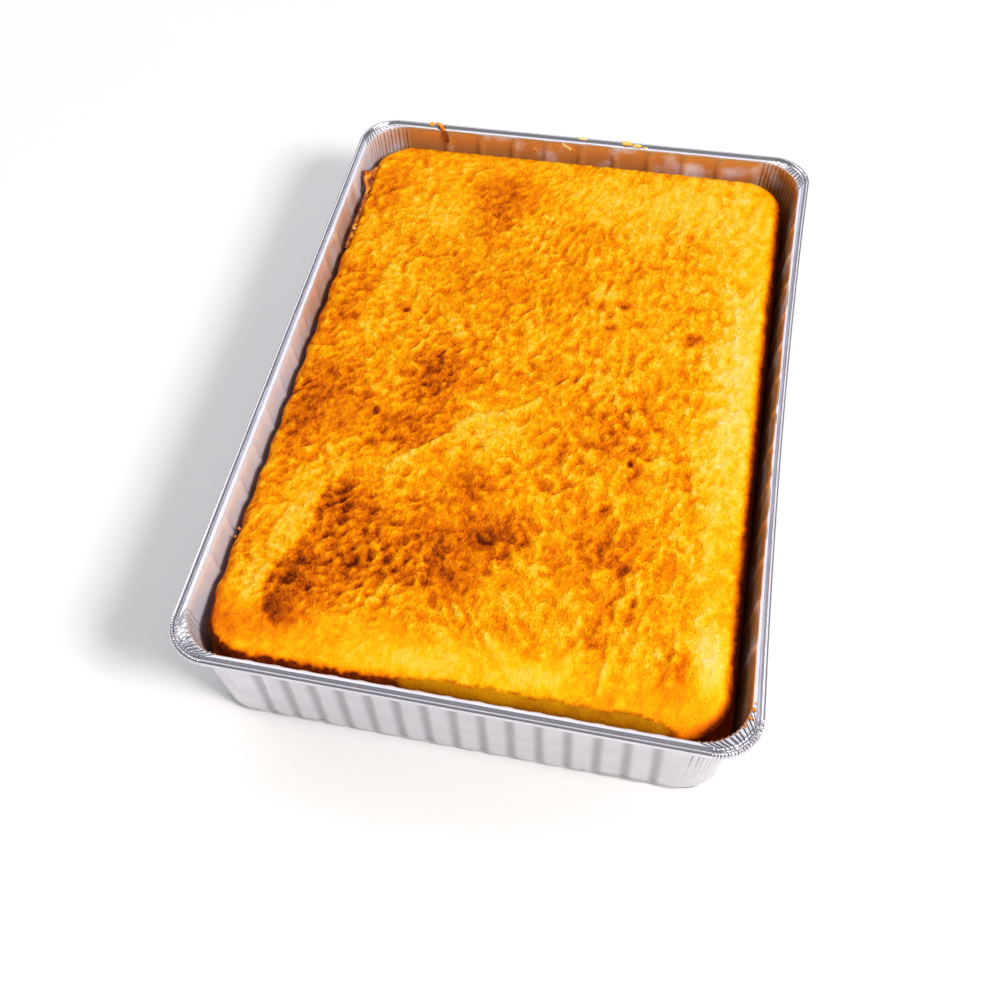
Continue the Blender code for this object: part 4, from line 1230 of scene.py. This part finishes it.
class CornbreadCrustSettings(bpy.types.PropertyGroup):
    sheen_level: FloatProperty(name="Sheen Level", description="How strongly the crust reflects",
                               default=0.035, subtype="FACTOR", min=0.0, max=1.0)
    speck_density: FloatProperty(name="Speck Density", description="Toasted specks for each square metre",
                                 default=3200.0, min=0.0)


class CornbreadStageSettings(bpy.types.PropertyGroup):
    floor: FloatVectorProperty(name="Floor Colour", description="Colour of the painted board",
                               default=linear("#FAFAFB"), subtype="COLOR", min=0.0, max=1.0)
    sky_strength: FloatProperty(name="Sky Strength", description="Light from all round", default=0.32,
                                min=0.0)
    key_watts: FloatProperty(name="Key Power", description="Power of the main soft light, front right",
                             default=22.0, unit="POWER", min=0.0)
    fill_watts: FloatProperty(name="Fill Power", description="Power of the soft light on the left",
                              default=5.5, unit="POWER", min=0.0)
    back_watts: FloatProperty(name="Back Power", description="Power of the soft light behind",
                              default=8.5, unit="POWER", min=0.0)


class OBJECT_OT_foil_pan(bpy.types.Operator):
    """Press the ribbed foil pan with its rolled rim and pleated corners"""
    bl_idname = "object.cornbread_foil_pan"
    bl_label = "Foil Pan"

    def execute(self, context):
        make_pan(context.scene.cornbread_pan)
        return {"FINISHED"}


class OBJECT_OT_cornbread(bpy.types.Operator):
    """Bake the bread with its browned and wrinkled crust"""
    bl_idname = "object.cornbread_slab"
    bl_label = "Cornbread"

    def execute(self, context):
        make_bread(context.scene.cornbread_crust)
        return {"FINISHED"}


class OBJECT_OT_torn_pieces(bpy.types.Operator):
    """Add the torn shred of crust and the dried drip of batter"""
    bl_idname = "object.cornbread_torn_pieces"
    bl_label = "Shred and Drip"

    def execute(self, context):
        make_shred()
        make_drip()
        return {"FINISHED"}


class OBJECT_OT_loose_bits(bpy.types.Operator):
    """Add dabs of batter, caught crumbs and toasted specks"""
    bl_idname = "object.cornbread_loose_bits"
    bl_label = "Dabs, Crumbs and Specks"

    def execute(self, context):
        make_dabs()
        make_crumbs()
        make_specks(context.scene.cornbread_crust)
        return {"FINISHED"}


class OBJECT_OT_stage(bpy.types.Operator):
    """Set the pale floor, the soft light and the camera"""
    bl_idname = "object.cornbread_stage"
    bl_label = "Stage"

    def execute(self, context):
        make_stage(context.scene.cornbread_stage)
        return {"FINISHED"}


class VIEW3D_PT_cornbread(bpy.types.Panel):
    """Lists the pieces and their sizes"""
    bl_label = "Cornbread"
    bl_idname = "VIEW3D_PT_cornbread"
    bl_space_type = "VIEW_3D"
    bl_region_type = "UI"
    bl_category = "Cornbread"

    def draw(self, context):
        for group, operators in (
            ("cornbread_pan", ("foil_pan",)),
            ("cornbread_crust", ("slab", "torn_pieces", "loose_bits")),
            ("cornbread_stage", ("stage",)),
        ):
            box = self.layout.box()
            settings = getattr(context.scene, group)
            for name in settings.__annotations__:
                box.prop(settings, name)
            for operator in operators:
                box.operator("object.cornbread_" + operator)


CLASSES = (
    CornbreadPanSettings,
    CornbreadCrustSettings,
    CornbreadStageSettings,
    OBJECT_OT_foil_pan,
    OBJECT_OT_cornbread,
    OBJECT_OT_torn_pieces,
    OBJECT_OT_loose_bits,
    OBJECT_OT_stage,
    VIEW3D_PT_cornbread,
)


def register():
    for each in CLASSES:
        bpy.utils.register_class(each)
    bpy.types.Scene.cornbread_pan = PointerProperty(type=CornbreadPanSettings)
    bpy.types.Scene.cornbread_crust = PointerProperty(type=CornbreadCrustSettings)
    bpy.types.Scene.cornbread_stage = PointerProperty(type=CornbreadStageSettings)


def unregister():
    del bpy.types.Scene.cornbread_stage
    del bpy.types.Scene.cornbread_crust
    del bpy.types.Scene.cornbread_pan
    for each in reversed(CLASSES):
        bpy.utils.unregister_class(each)


def main():
    noise.seed_set(NOISE_SEED)
    register()
    bpy.ops.object.cornbread_foil_pan()
    bpy.ops.object.cornbread_slab()
    bpy.ops.object.cornbread_torn_pieces()
    bpy.ops.object.cornbread_loose_bits()
    bpy.ops.object.cornbread_stage()


if __name__ == "__main__":
    main()
